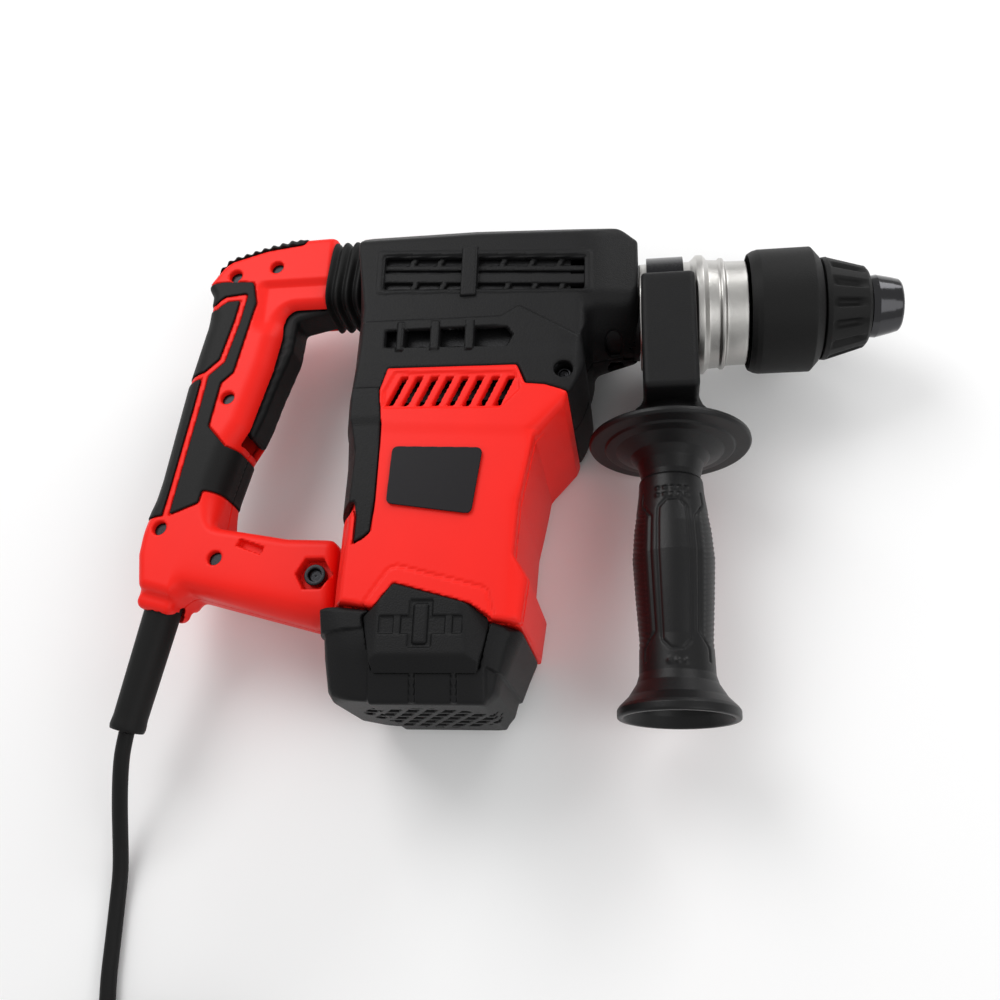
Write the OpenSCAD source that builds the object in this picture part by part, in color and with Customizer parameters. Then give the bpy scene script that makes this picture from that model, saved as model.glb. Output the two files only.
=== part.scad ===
// Two-hand rotary demolition hammer, lying on its left side.
// Working frame: X along the barrel towards the nose, Y up through the tool's top, Z to its right side,
// with X = 0 on the side handle's axis. The finished part is moved so that the nose is the origin.

/* [Barrel] */
// Distance from the side handle's axis to the nose
nose_reach = 115; // [112:1:118]
// Radius of the tool bore
tool_bore_r = 5.05; // [5.03:0.01:5.1]
// Outer radius of the spindle tube
spindle_r = 17; // [17:0.1:17]
// Radius of the piston and the striker
piston_r = 13; // [12.9:0.05:13]
// Outer radius of the locking sleeve
sleeve_r = 31; // [30.5:0.5:32]

/* [Housing] */
// Half of the gear cover's width
cover_half = 42; // [42:0.5:43]
// Half of the motor housing's width
motor_half = 45; // [45:0.5:46]
// Wall thickness of the plastic shells
wall = 3; // [2.5:0.5:3]
// Distance of the motor's axis behind the side handle
motor_back = 114; // [114:0.5:114]

/* [Rear handle] */
// Half of the rear handle's width
handle_half = 18; // [17:0.5:19]
// Radius of the pin the trigger turns on
trigger_pin_r = 1.5; // [1.4:0.05:1.5]
// Radius of the handle's pivot bolt
pivot_r = 4; // [4:0.5:4]
// Diameter of the mains cord
cord_d = 7.5; // [7:0.5:8]
// Mean diameter of the cord's coil
coil_d = 85; // [80:1:90]

/* [Side handle] */
// Radius of the hand guard flange
flange_r = 39; // [37:0.5:40]
// Length of the grip from the barrel's axis
grip_reach = 205.4; // [200:1:208]

/* [Gears] */
// Gear module of the two spur pairs
gear_m = 1.5; // [1.5:0.1:1.5]
// Teeth of the motor pinion
pinion_teeth = 8; // [8:1:8]
// Teeth of the crank gear
crank_teeth = 24; // [24:1:24]
// Teeth of the drive gear
drive_teeth = 14; // [14:1:14]
// Crank throw
throw = 11; // [10:0.5:11]

/* [Hidden] */
$fn = 64;
eps = 0.1;

motor_x = -motor_back;
crank_x = motor_x + gear_m * (pinion_teeth + crank_teeth) / 2;
drive_x = crank_x + gear_m * (crank_teeth + drive_teeth) / 2;
rest_z = -motor_half;
pivot = [-167.5, -141.5];
trigger_at = [-181, 11];
rod_len = 40;
wrist_x = crank_x + throw + rod_len;
selector_at = [-62, 14];

// Side outlines, as X and Y
barrel_outline = [
    [-158, 40], [-154, 44], [-95, 44], [-91, 42], [-44, 40], [-23, 37], [-13, 30], [-13, -24],
    [-37, -25], [-158, -25]
];
lower_outline = [
    [-158, 0], [-152, -19], [-82, -19], [-70, -12], [-40, -32], [-37, -46], [-44, -60], [-46, -63],
    [-57, -59], [-66, -58], [-70, -48], [-134, -47], [-139, -58], [-158, -58]
];
motor_outline = [
    [-154, -58.4], [-139, -58.4], [-134, -47.4], [-70, -48.4], [-66, -58.4], [-57, -59.4], [-46, -63.4],
    [-48, -70], [-60, -86], [-64, -118], [-66, -142], [-62, -152], [-63, -172.8], [-156.5, -163],
    [-156.5, -122], [-154, -118]
];
cap_outline = [
    [-156.5, -163.3], [-63, -173.1], [-67, -184], [-71, -194], [-72, -201], [-79, -205.5],
    [-134, -205.5], [-150, -201], [-155, -190]
];
brush_outline = [[-120, -156], [-89, -163], [-81, -179], [-85, -196], [-128, -196], [-132, -181]];
handle_outline = [
    [-174, 52], [-195, 52], [-213, 49], [-234, 43], [-239, 38], [-247, 26], [-243, 18], [-247, -4],
    [-252, -37], [-257, -90], [-259, -106], [-259, -130], [-256, -147], [-238, -152], [-232, -148],
    [-168, -165], [-158, -165], [-158, -124], [-183, -123], [-222, -116], [-221, -95], [-216, -72],
    [-211, -62], [-203, -28], [-198, 8], [-174, 8]
];
trigger_outline = [
    [-177, 14], [-196, 14], [-203, 8], [-209, -30], [-216, -62], [-211, -66], [-207, -54], [-203, -38],
    [-196, -14], [-195, 4], [-176.5, 8.5]
];
pad_outline = [
    [-236, 25], [-219, 24], [-216, 11], [-223, -31], [-229, -37], [-232, -62], [-222, -73], [-214, -75],
    [-220, -100], [-230, -97], [-233, -104], [-245, -110], [-257, -112], [-257, -90], [-252, -37],
    [-247, -4], [-243, 15]
];

// Route of the cord from the strain relief to the coil, in the finished part's frame
cord_route = [
    [-378, -212, -10], [-380, -222, -13], [-382, -234, -19], [-384, -247, -27], [-385, -260, -34],
    [-385, -274, -39], [-385, -289, -41.2], [-384, -305, -41.2], [-383, -321, -41.2],
    [-381, -337, -41.2], [-379.5, -352, -41.2], [-379, -366, -41.2]
];
coil_at = [-336.5, -396];
coil_w = 23;
coil_h = 30;

function unit(v) = v / norm(v);
function spline(p, i, t) = let (
    n = len(p) - 1,
    a = p[max(i - 1, 0)], b = p[i], c = p[min(i + 1, n)], d = p[min(i + 2, n)]
) 0.5 * (2 * b + (c - a) * t + (2 * a - 5 * b + 4 * c - d) * t * t + (3 * b - a - 3 * c + d) * t * t * t);
function smooth(p, k) = concat(
    [for (i = [0 : len(p) - 2], j = [0 : k - 1]) spline(p, i, j / k)], [p[len(p) - 1]]
);
function heading(p, i) = unit(p[min(i + 1, len(p) - 1)] - p[max(i - 1, 0)]);
function helix(r, pitch, turns, steps) = [
    for (i = [0 : turns * steps]) let (a = 360 * i / steps)
        [pitch * i / steps, r * cos(a), r * sin(a)]
];

// A round tube swept along a path, with rings square to it
module swept(path, d, sides, up) {
    n = len(path);
    rings = [
        for (i = [0 : n - 1]) let (
            t = heading(path, i), u = unit(cross(up, t)), v = cross(t, u)
        ) for (k = [0 : sides - 1]) let (a = 360 * k / sides)
            path[i] + d / 2 * (cos(a) * u + sin(a) * v)
    ];
    sides_faces = [
        for (i = [0 : n - 2], k = [0 : sides - 1]) let (
            a = i * sides + k, b = i * sides + (k + 1) % sides
        ) [a, a + sides, b + sides, b]
    ];
    ends = [[for (k = [0 : sides - 1]) k], [for (k = [sides - 1 : -1 : 0]) (n - 1) * sides + k]];
    polyhedron(rings, concat(sides_faces, ends), convexity = 6);
}

module at_nose() translate([-nose_reach, 0, 0]) children();
module slab(z0, z1) translate([0, 0, z0]) linear_extrude(z1 - z0) children();
module block(low, high) translate(low) cube(high - low);
module rod_x(x0, x1, r) translate([x0, 0, 0]) rotate([0, 90, 0]) cylinder(h = x1 - x0, r = r);
module rod_y(x, y0, y1, r) translate([x, y0, 0]) rotate([-90, 0, 0]) cylinder(h = y1 - y0, r = r);
module rod_z(at, z0, z1, r) translate([at[0], at[1], z0]) cylinder(h = z1 - z0, r = r);
module tube_x(x0, x1, outer, inner) difference() {
    rod_x(x0, x1, outer);
    rod_x(x0 - 1, x1 + 1, inner);
}
module tube_y(x, y0, y1, outer, inner) difference() {
    rod_y(x, y0, y1, outer);
    rod_y(x, y0 - 1, y1 + 1, inner);
}
module turned_x() rotate([0, 90, 0]) rotate_extrude() children();
module both_sides() {
    children();
    mirror([0, 0, 1]) children();
}

// Spur gear with straight-flanked teeth and generous backlash, lying in XZ
module gear(x, y0, y1, teeth, turn) {
    pitch_r = gear_m * teeth / 2;
    tip_r = pitch_r + 0.6 * gear_m;
    root_r = pitch_r - 0.9 * gear_m;
    base_w = 0.24 * 360 / teeth;
    tip_w = 0.11 * 360 / teeth;
    translate([x, y0, 0]) rotate([-90, turn, 0]) linear_extrude(y1 - y0) polygon([
        for (i = [0 : teeth - 1], k = [0 : 3]) let (
            a = 360 * i / teeth + [-base_w, -tip_w, tip_w, base_w][k],
            r = [root_r, tip_r, tip_r, root_r][k]
        ) [r * cos(a), r * sin(a)]
    ]);
}

// Cross-section of the cover round the barrel, thinner by inset
module barrel_section(inset) rotate([90, 0, 90]) translate([0, 0, -170]) linear_extrude(170) polygon([
    [-25 + inset, -1], [-25 + inset, 39 - inset], [30, 39 - inset],
    [44 - inset, 23 - inset / 2], [44 - inset, -1]
]);
// Wedge that bevels the cover's underside ahead of the side handle, set inwards by inset
module under_bevel(inset) rotate([90, 0, 90]) translate([0, 0, -36.8 - inset]) linear_extrude(40)
    polygon([[-31, -1.9 * inset], [-4.5, 43 - 1.9 * inset], [-4.5, 60], [-60, 60], [-60, -1.9 * inset]]);

// Half of the gear cover, on the positive side
module cover_half_shell() difference() {
    union() {
        intersection() {
            slab(0, cover_half) polygon(barrel_outline);
            barrel_section(0);
        }
        slab(0, cover_half) polygon(lower_outline);
    }
    difference() {
        intersection() {
            slab(-eps, cover_half) offset(delta = -wall) polygon(barrel_outline);
            barrel_section(wall);
        }
        under_bevel(wall);
    }
    slab(-eps, cover_half - 3.5) polygon([
        [-154.5, 10], [-55, 10], [-45.5, -20], [-44.5, -60], [-50, -70], [-154.5, -70]
    ]);
    rod_x(-49, 0, 22.1);
    under_bevel(0);
    for (i = [0 : 3]) block([-134 + 25 * i, 0, 34], [-114 + 25 * i, 6, 50]);
    for (i = [0 : 3]) block([-134 + 25 * i, 10, 34], [-114 + 25 * i, 20, 50]);
    for (i = [0 : 3]) block([-136 + 14 * i, -34, 36], [-126 + 14 * i, -26, 50]);
}

module gear_cover_right() color([0.07, 0.07, 0.07]) at_nose() difference() {
    cover_half_shell();
    rod_z([-48, -50], 39, 50, 4);
}

module gear_cover_left() color([0.07, 0.07, 0.07]) at_nose() difference() {
    union() {
        mirror([0, 0, 1]) cover_half_shell();
        for (p = [[-26, 22], [-150, 26], [-150, -50], [-26, -4]]) rod_z(p, rest_z, -35, 4.5);
    }
    rod_z(selector_at, -50, -30, 6.3);
}

module motor_housing() color([0.85, 0.16, 0.1]) at_nose() difference() {
    union() {
        intersection() {
            slab(-motor_half, motor_half) polygon(motor_outline);
            rotate([-90, 0, 0]) translate([0, 0, -180]) linear_extrude(180) polygon([
                [-156.5, -38], [-148, -motor_half], [-66, -motor_half], [-46, -34],
                [-46, 34], [-66, motor_half], [-148, motor_half], [-156.5, 38]
            ]);
        }
        rod_z(pivot, -7, 7, 8);
        block([-167, -151, -7], [-154, -135, 7]);
    }
    rod_y(motor_x, -190, -60, 38.5);
    block([-151, -66, -39], [-50, -40, 39]);
    block([-90, -160, -28], [-70, -95, 28]);
    rod_z(pivot, -10, 10, pivot_r + 0.05);
    both_sides() {
        block([-170, -117.3, cover_half], [-138.8, -40, 50]);
        block([-170, -117.3, -1], [-153.8, -40, 50]);
        slab(cover_half - 0.3, 50) offset(delta = 0.3) polygon(brush_outline);
        for (i = [0 : 7]) translate([-129 + 6.5 * i, -66, 38]) rotate([0, 0, -25]) cube([2.6, 14, 12]);
    }
}

module motor_cap() color([0.07, 0.07, 0.07]) at_nose() {
    difference() {
        intersection() {
            slab(-cover_half, cover_half) polygon(cap_outline);
            rotate([90, 0, 90]) translate([0, 0, -170]) linear_extrude(170) polygon([
                [-160, 42], [-180, 42], [-203, 37], [-206, 34], [-206, -34], [-203, -37], [-180, -42],
                [-160, -42]
            ]);
        }
        rod_y(motor_x, -202, -150, 36);
        both_sides() block([motor_x - 6, -181, 30], [motor_x + 6, -167, 50]);
        for (i = [0 : 5]) block([motor_x - 28 + 10 * i, -215, -22], [motor_x - 24 + 10 * i, -198, 22]);
    }
    tube_y(motor_x, -202.5, -188, 14, 11.02);
}

module brush_cover() intersection() {
    slab(30, 60) polygon(brush_outline);
    rotate([90, 0, 90]) translate([0, 0, -170]) linear_extrude(170) polygon([
        [-150, 42.1], [-180, 42.1], [-198, 38.6], [-198, 41], [-181, 44], [-150, 44]
    ]);
}
module brush_cover_right() color([0.09, 0.09, 0.09]) at_nose() {
    brush_cover();
    block([-110, -182, 43], [-103, -165, motor_half]);
}
module brush_cover_left() color([0.09, 0.09, 0.09]) at_nose() mirror([0, 0, 1]) {
    brush_cover();
    block([-110, -182, 43], [-103, -165, motor_half]);
}

module rear_bumper() color([0.1, 0.1, 0.1]) at_nose() rotate([-90, 0, 0])
    translate([0, 0, -117]) linear_extrude(58.5) polygon([
        [-158, -38], [-150.5, -motor_half + 0.5], [-139, -motor_half + 0.5], [-139, -cover_half - 0.2],
        [-152.2, -cover_half - 0.2], [-154, -40.4], [-154, 40.4], [-152.2, cover_half + 0.2],
        [-139, cover_half + 0.2], [-139, motor_half - 0.5], [-150.5, motor_half - 0.5], [-158, 38]
    ]);

module rating_plate() color([0.2, 0.2, 0.22]) at_nose()
    slab(motor_half, motor_half + 0.4) polygon([[-126, -90], [-84, -92], [-88, -124], [-127, -118]]);

module gearcase() color([0.62, 0.63, 0.65]) at_nose() {
    difference() {
        union() {
            block([-150, -24, -34], [-46, 29.4, 34]);
            block([-150, -62, -34], [-56, -20, 34]);
            block([-60, -56, -34], [-46, -20, 34]);
            rod_x(-50, -13.2, 21.9);
            rod_y(motor_x, -74, -60, 14);
        }
        difference() {
            block([-147, -56, -31], [-49, 26.6, 31]);
            block([-148, -38, -32], [-48, -32, 32]);
        }
        rod_x(-60, 0, 19.52);
        rod_y(motor_x, -80, -63, 11.02);
        rod_y(motor_x, -80, -50, 8);
        rod_y(crank_x, -61, -20, 11.02);
        rod_y(drive_x, -61, -20, 9.02);
        rod_y(motor_x, -45, -25, 9);
    }
}

module barrel_collar() color([0.72, 0.73, 0.74]) at_nose() turned_x() polygon([
    [21.05, -12.9], [27, -12.9], [27, 14.5], [30, 15.5], [30, 18.5], [26, 20], [26, 26], [27.8, 26.8],
    [27.8, 29], [26, 30], [26, 40], [21.05, 40]
]);

module spindle_bearings() color([0.7, 0.7, 0.72]) at_nose() {
    tube_x(22, 34, 21, spindle_r + 0.05);
    tube_x(-42, -30, 19.5, spindle_r + 0.05);
}
module spindle_seal() color([0.1, 0.1, 0.1]) at_nose() tube_x(35, 39, 21, spindle_r + 0.3);

module stator() color([0.45, 0.46, 0.48]) at_nose() difference() {
    tube_y(motor_x, -152, -98, 38.3, 27);
    for (a = [0 : 90 : 270]) translate([motor_x, 0, 0]) rotate([0, a + 45, 0])
        block([28, -160, -9], [34.5, -90, 9]);
}
module field_coils() color([0.62, 0.3, 0.14]) at_nose()
    for (a = [0 : 90 : 270]) translate([motor_x, 0, 0]) rotate([0, a + 45, 0])
        block([28.3, -158, -8.6], [34.2, -94, 8.6]);

module shaft_bearings() color([0.7, 0.7, 0.72]) at_nose() {
    tube_y(motor_x, -73, -64, 11, 4.65);
    tube_y(motor_x, -199, -190, 11, 4.05);
    for (y = [-61, -38]) {
        tube_y(crank_x, y, y + 5, 11, 6.05);
        tube_y(drive_x, y, y + 5, 9, 5.05);
    }
}

module brush_holders() color([0.75, 0.6, 0.25]) at_nose() both_sides() difference() {
    block([motor_x - 5.5, -180, 17], [motor_x + 5.5, -168, 40]);
    block([motor_x - 3.8, -178.2, 10], [motor_x + 3.8, -169.8, 39]);
}
module carbon_brushes() color([0.12, 0.12, 0.13]) at_nose() both_sides()
    block([motor_x - 3.5, -178, 15.2], [motor_x + 3.5, -170, 29]);
module brush_springs() color([0.6, 0.6, 0.62]) at_nose() both_sides()
    translate([motor_x, -174, 29.6]) rotate([0, -90, 0]) swept(helix(2.6, 1.9, 4, 10), 0.8, 6, [1, 0, 0]);

module housing_screws() color([0.3, 0.3, 0.32]) at_nose()
    rod_z([-48, -50], 39.1, 41, 3.6);

// Half of the rear handle, on the positive side
module handle_half_shell() {
    difference() {
        slab(0.05, handle_half) polygon(handle_outline);
        slab(-eps, handle_half - wall) offset(delta = -wall) polygon(handle_outline);
        slab(-eps, 10.2) polygon([
            [-175.5, 15.5], [-204, 15.5], [-222, -62], [-218, -70], [-206, -70], [-180, -20], [-180, 0],
            [-175.5, 0]
        ]);
        block([-165, -152, -eps], [-150, -132, 8]);
        translate([-247, -150, 0]) rotate([0, 0, -14]) block([-9.6, -12, -12], [9.6, 6, 12]);
        rod_z(pivot, -1, 30, pivot_r);
        for (p = [[-207, 33], [-230, 29], [-224, -46], [-249, -117], [-218, -133]])
            rod_z(p, 12, 30, 3.4);
    }
    difference() {
        rod_z(pivot, 7.4, handle_half - 1, 9);
        rod_z(pivot, -1, 30, pivot_r);
    }
    rod_z(trigger_at, 0.05, handle_half - 1, trigger_pin_r);
}
module handle_right() color([0.85, 0.16, 0.1]) at_nose() handle_half_shell();
module handle_left() color([0.85, 0.16, 0.1]) at_nose() mirror([0, 0, 1]) handle_half_shell();

module grip_pad() {
    slab(handle_half, handle_half + 1.2) offset(delta = -1) polygon(pad_outline);
    slab(0.05, 14) polygon([
        [-190, 52.1], [-195, 52.1], [-213, 49.1], [-234, 43.2],
        [-235, 45.5], [-213, 51.5], [-195, 54.5], [-190, 54.5]
    ]);
}
module grip_pad_right() color([0.09, 0.09, 0.09]) at_nose() grip_pad();
module grip_pad_left() color([0.09, 0.09, 0.09]) at_nose() mirror([0, 0, 1]) grip_pad();

module switch_body() color([0.15, 0.15, 0.16]) at_nose()
    translate([-228, -32, 0]) rotate([0, 0, -9]) block([-10, -24, -9], [6, 24, 9]);

module handle_screws() color([0.25, 0.25, 0.27]) at_nose()
    for (p = [[-207, 33], [-230, 29], [-224, -46], [-249, -117], [-218, -133]])
        rod_z(p, handle_half - 5.9, handle_half - 3.1, 3.3);

module pivot_bolt() color([0.15, 0.15, 0.16]) at_nose() difference() {
    union() {
        rod_z(pivot, -handle_half, handle_half, pivot_r);
        rod_z(pivot, handle_half, handle_half + 1.5, 6);
        rod_z(pivot, -handle_half - 1.5, -handle_half, 6);
    }
    translate([pivot[0], pivot[1], handle_half - 2]) cylinder(h = 10, r = 2.5, $fn = 6);
}

module cable_clamp() color([0.15, 0.15, 0.16]) at_nose()
    translate([-246, -136, 0]) rotate([0, 0, -14]) difference() {
        block([-7.2, -5, -9], [7.2, 3, 9]);
        rod_y(0, -6, 4, cord_d / 2);
    }

// Tapered rubber sleeve, leaning with the cord from the handle to its mouth
module strain_relief() color([0.08, 0.08, 0.08]) hull() {
    translate([-363, -151, 0]) rotate([-90, 0, 12]) cylinder(h = 2, r = 9, center = true, $fn = 32);
    translate([-377.6, -209, -8.8]) rotate([-90, 0, 12]) cylinder(h = 2, r = 8, center = true, $fn = 32);
}

module bellows() color([0.08, 0.08, 0.08]) at_nose() rotate([0, 90, 0]) translate([0, 0, -173.8])
    linear_extrude(15.6) difference() {
        translate([-19, 8]) square([38, 35]);
        translate([-16.5, 10.5]) square([33, 30]);
    }
module damper_spring() color([0.6, 0.6, 0.62]) at_nose() translate([-172.6, 26, 0])
    swept(helix(9, 3.3, 4, 14), 1.8, 6, [1, 0, 0]);

module cord_lead() color([0.05, 0.05, 0.05]) swept(smooth(cord_route, 2), cord_d, 10, [0, 0, 1]);
module cord_coil() color([0.05, 0.05, 0.05]) translate([coil_at[0], coil_at[1], rest_z])
    rotate_extrude() translate([(coil_d - coil_w) / 2, 0]) square([coil_w, coil_h]);
module cord_tie() color([0.2, 0.2, 0.2]) translate([coil_at[0], coil_at[1] + coil_d / 2, rest_z + coil_h])
    block([-4, -coil_w / 2, 0], [4, coil_w / 2, 1.5]);

// The plug lies across the coil's near side on a flat of its own
module at_plug(x)
    translate([coil_at[0] + x, coil_at[1] - coil_d / 2, rest_z + coil_h + 15])
        rotate([0, 90, 0]) children();
module plug_body() color([0.05, 0.05, 0.05]) at_plug(-14) difference() {
    cylinder(h = 36, r = 18);
    translate([15, -30, -1]) cube([10, 60, 50]);
}
module plug_pins() color([0.75, 0.75, 0.76]) at_plug(22)
    for (y = [-9.5, 9.5]) translate([0, y, 0]) cylinder(h = 19, r = 2.4);

module trigger() color([0.06, 0.06, 0.06]) at_nose() difference() {
    slab(-9.6, 9.6) polygon(trigger_outline);
    rod_z(trigger_at, -15, 15, trigger_pin_r + 0.05);
}

module selector_knob() color([0.12, 0.12, 0.13]) at_nose() {
    rod_z(selector_at, -44.8, -42.3, 15);
    rod_z(selector_at, -43, -37, 6);
}

module handle_yoke() color([0.07, 0.07, 0.07]) at_nose() difference() {
    union() {
        block([-12.3, -60, -37], [14, 4, 37]);
        rod_y(0.8, -70, -58, 20);
    }
    rod_x(-20, 20, 27.35);
    block([-20, -5, -27.35], [20, 40, 27.35]);
    difference() {
        rod_x(-9.2, 9.2, 30.1);
        rod_x(-10, 10, 27);
    }
    block([-9.2, -5, -30.1], [9.2, 40, 30.1]);
    rod_y(0, -80, 0, 4.2);
}
module clamp_band() color([0.1, 0.1, 0.1]) at_nose() difference() {
    rod_x(-9, 9, 29.8);
    rod_x(-10, 10, 27.35);
}
module tee_bolt() color([0.6, 0.6, 0.62]) at_nose() rod_y(0, -110, -29.9, 4);

module side_grip_core() color([0.06, 0.06, 0.06]) at_nose() difference() {
    translate([0, 0, 0]) rotate([90, 0, 0]) rotate_extrude() polygon([
        [0, 70.4], [flange_r - 2, 70.4], [flange_r, 72], [flange_r - 1, 74.3], [24, 75], [15, 84],
        [14, 92], [11, 96], [11, 190], [0, 190]
    ]);
    rod_y(0, -112, -60, 4.3);
}
module side_grip_sleeve() color([0.06, 0.06, 0.06]) at_nose() rotate([90, 0, 0]) rotate_extrude() polygon([
    [11, 96], [15, 92.5], [15.5, 100], [18, 118], [19, 132], [18, 150], [16.5, 170], [17, 186], [22, 196],
    [27, 202], [27, grip_reach], [24, grip_reach], [19, 196], [11, 188]
]);

module spindle_tube() color([0.5, 0.5, 0.52]) at_nose() difference() {
    turned_x() polygon([
        [0, -66], [spindle_r, -66], [spindle_r, 44], [14, 46], [14, 98], [10.5, 99], [10.5, nose_reach],
        [0, nose_reach]
    ]);
    rod_x(-70, 30, piston_r + 0.04);
    rod_x(29, 65, 9.05);
    rod_x(60, nose_reach + 5, tool_bore_r);
    both_sides() translate([86, 0, 0]) cylinder(h = 20, r = 3.7);
}
module nose_ring() color([0.4, 0.4, 0.42]) at_nose() turned_x() polygon([
    [10.55, 99.5], [15.2, 99.5], [15.5, 103], [13, 113], [12, 114.6], [10.55, 114.6]
]);
module guide_cone() color([0.07, 0.07, 0.07]) at_nose() turned_x() polygon([
    [14.05, 76.5], [25.5, 76.5], [25.5, 80], [20, 98], [17, 99], [14.05, 99]
]);
module bevel_wheel() color([0.5, 0.5, 0.52]) at_nose() difference() {
    turned_x() polygon([
        [spindle_r, -54.4], [18.6, -54.4], [26.2, -51.6], [26.2, -50], [21, -49.2],
        [spindle_r, -49.2]
    ]);
    for (i = [0 : 25]) rotate([360 / 26 * i, 0, 0]) translate([-52.4, -27, 0]) rotate([0, 0, 20])
        cube([4, 20, 2.4], center = true);
}
module locking_balls() color([0.75, 0.75, 0.76]) at_nose() both_sides()
    translate([86, 0, 9]) sphere(r = 3.5);

module locking_sleeve() color([0.06, 0.06, 0.06]) at_nose() turned_x() polygon([
    [28.3, 41], [29, 41], [sleeve_r - 0.5, 43.5], [sleeve_r, 46], [sleeve_r, 71], [sleeve_r - 1.5, 74],
    [26, 76], [14.1, 76], [14.1, 68], [28.3, 66]
]);
module sleeve_spring() color([0.6, 0.6, 0.62]) at_nose() translate([51, 0, 0])
    swept(helix(19, 3.4, 4, 14), 2.2, 6, [1, 0, 0]);

module piston() color([0.6, 0.6, 0.62]) at_nose() difference() {
    rod_x(wrist_x - 9, wrist_x + 25, piston_r);
    rod_x(wrist_x - 10, wrist_x + 11, 10);
    rod_y(wrist_x, -15, 15, 3);
}
module wrist_pin() color([0.7, 0.7, 0.72]) at_nose() rod_y(wrist_x, -12.4, 12.4, 3);
module con_rod() color([0.5, 0.5, 0.52]) at_nose() difference() {
    union() {
        rod_y(wrist_x, -4.5, 4.5, 6);
        rod_y(wrist_x - rod_len, -4.5, 4.5, 8);
        block([wrist_x - rod_len, -3.5, -4], [wrist_x, 3.5, 4]);
        rod_y(wrist_x - rod_len, -9.7, 0, 4);
    }
    rod_y(wrist_x, -6, 6, 3.05);
}
module striker() color([0.55, 0.55, 0.57]) at_nose() rod_x(wrist_x + 29, wrist_x + 49, piston_r);
module impact_bolt() color([0.55, 0.55, 0.57]) at_nose() {
    rod_x(33, 57, 9);
    rod_x(26, 34, 6);
}

module armature_shaft() color([0.6, 0.6, 0.62]) at_nose() {
    rod_y(motor_x, -198, -188, 4);
    rod_y(motor_x, -188, -62, 4.6);
    gear(motor_x, -62, -42, pinion_teeth, 0);
}
module armature_core() color([0.4, 0.4, 0.42]) at_nose() difference() {
    tube_y(motor_x, -151, -99, 26.3, 4.6);
    for (i = [0 : 11]) translate([motor_x, 0, 0]) rotate([0, 30 * i, 0])
        block([22, -160, -0.8], [28, -90, 0.8]);
}
module commutator() color([0.72, 0.42, 0.2]) at_nose() difference() {
    tube_y(motor_x, -183, -165, 15, 4.6);
    for (i = [0 : 23]) translate([motor_x, 0, 0]) rotate([0, 15 * i, 0])
        block([14, -190, -0.2], [16, -160, 0.2]);
}
module fan() color([0.12, 0.12, 0.13]) at_nose() {
    tube_y(motor_x, -92, -80, 9, 4.6);
    tube_y(motor_x, -92, -90, 36, 8);
    for (i = [0 : 10]) translate([motor_x, 0, 0]) rotate([0, 360 / 11 * i, 0])
        block([10, -90.5, -0.8], [35, -80, 0.8]);
}
module crank_gear() color([0.5, 0.5, 0.52]) at_nose() {
    rod_y(crank_x, -61, -18, 6);
    rod_y(crank_x, -18, -10, 17);
    gear(crank_x, -54, -44, crank_teeth, 180 / crank_teeth);
}
module drive_gear() color([0.5, 0.5, 0.52]) at_nose() {
    rod_y(drive_x, -61, -29, 5);
    gear(drive_x, -54, -44, drive_teeth, 0);
    difference() {
        translate([drive_x, -29, 0]) rotate([-90, 0, 0]) cylinder(h = 9, r1 = 9.3, r2 = 6.3);
        for (i = [0 : 8]) translate([drive_x, -24, 0]) rotate([0, 40 * i + 20, 0]) translate([8.6, 0, 0])
            rotate([0, 0, 18]) cube([3, 20, 2.6], center = true);
    }
}

gear_cover_right();
gear_cover_left();
motor_housing();
motor_cap();
brush_cover_right();
brush_cover_left();
rear_bumper();
rating_plate();
gearcase();
barrel_collar();
spindle_bearings();
spindle_seal();
stator();
field_coils();
brush_holders();
carbon_brushes();
brush_springs();
housing_screws();
shaft_bearings();
handle_right();
handle_left();
grip_pad_right();
grip_pad_left();
switch_body();
handle_screws();
pivot_bolt();
cable_clamp();
strain_relief();
bellows();
damper_spring();
cord_lead();
cord_coil();
cord_tie();
plug_body();
plug_pins();
trigger();
selector_knob();
handle_yoke();
clamp_band();
tee_bolt();
side_grip_core();
side_grip_sleeve();
spindle_tube();
nose_ring();
guide_cone();
bevel_wheel();
locking_balls();
locking_sleeve();
sleeve_spring();
piston();
wrist_pin();
con_rod();
striker();
impact_bolt();
armature_shaft();
armature_core();
commutator();
fan();
crank_gear();
drive_gear();
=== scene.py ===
import math

import bpy
import numpy as np
from mathutils import Matrix, Vector


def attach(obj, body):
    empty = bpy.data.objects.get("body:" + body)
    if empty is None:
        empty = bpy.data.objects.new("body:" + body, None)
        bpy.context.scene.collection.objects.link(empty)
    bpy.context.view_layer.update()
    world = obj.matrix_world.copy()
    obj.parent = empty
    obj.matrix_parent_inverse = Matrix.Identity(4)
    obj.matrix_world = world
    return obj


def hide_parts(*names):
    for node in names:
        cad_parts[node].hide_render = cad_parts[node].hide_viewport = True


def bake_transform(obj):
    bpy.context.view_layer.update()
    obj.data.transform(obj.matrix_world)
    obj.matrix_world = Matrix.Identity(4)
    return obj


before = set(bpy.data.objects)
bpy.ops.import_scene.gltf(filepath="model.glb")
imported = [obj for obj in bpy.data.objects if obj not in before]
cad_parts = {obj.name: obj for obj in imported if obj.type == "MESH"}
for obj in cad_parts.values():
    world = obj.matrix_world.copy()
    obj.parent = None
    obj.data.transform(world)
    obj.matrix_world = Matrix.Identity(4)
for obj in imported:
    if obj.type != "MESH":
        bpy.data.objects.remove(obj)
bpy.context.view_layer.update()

# Shapes are written in millimetres with X = 0 on the side handle's axis, Y up through the tool
# and Z to its right side. The row frame has the nose at its origin, NOSE further along X.
NOSE = 115.0
MM = 0.001
FLOOR_Z = -0.045
FLOOR_GAP = 0.0002
CORD_D = 7.5


def to_row(points):
    """Points in working millimetres as metres in the row frame."""
    return (np.asarray(points, float) - [NOSE, 0, 0]) * MM


# -------- camera, lights and floor

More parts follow.
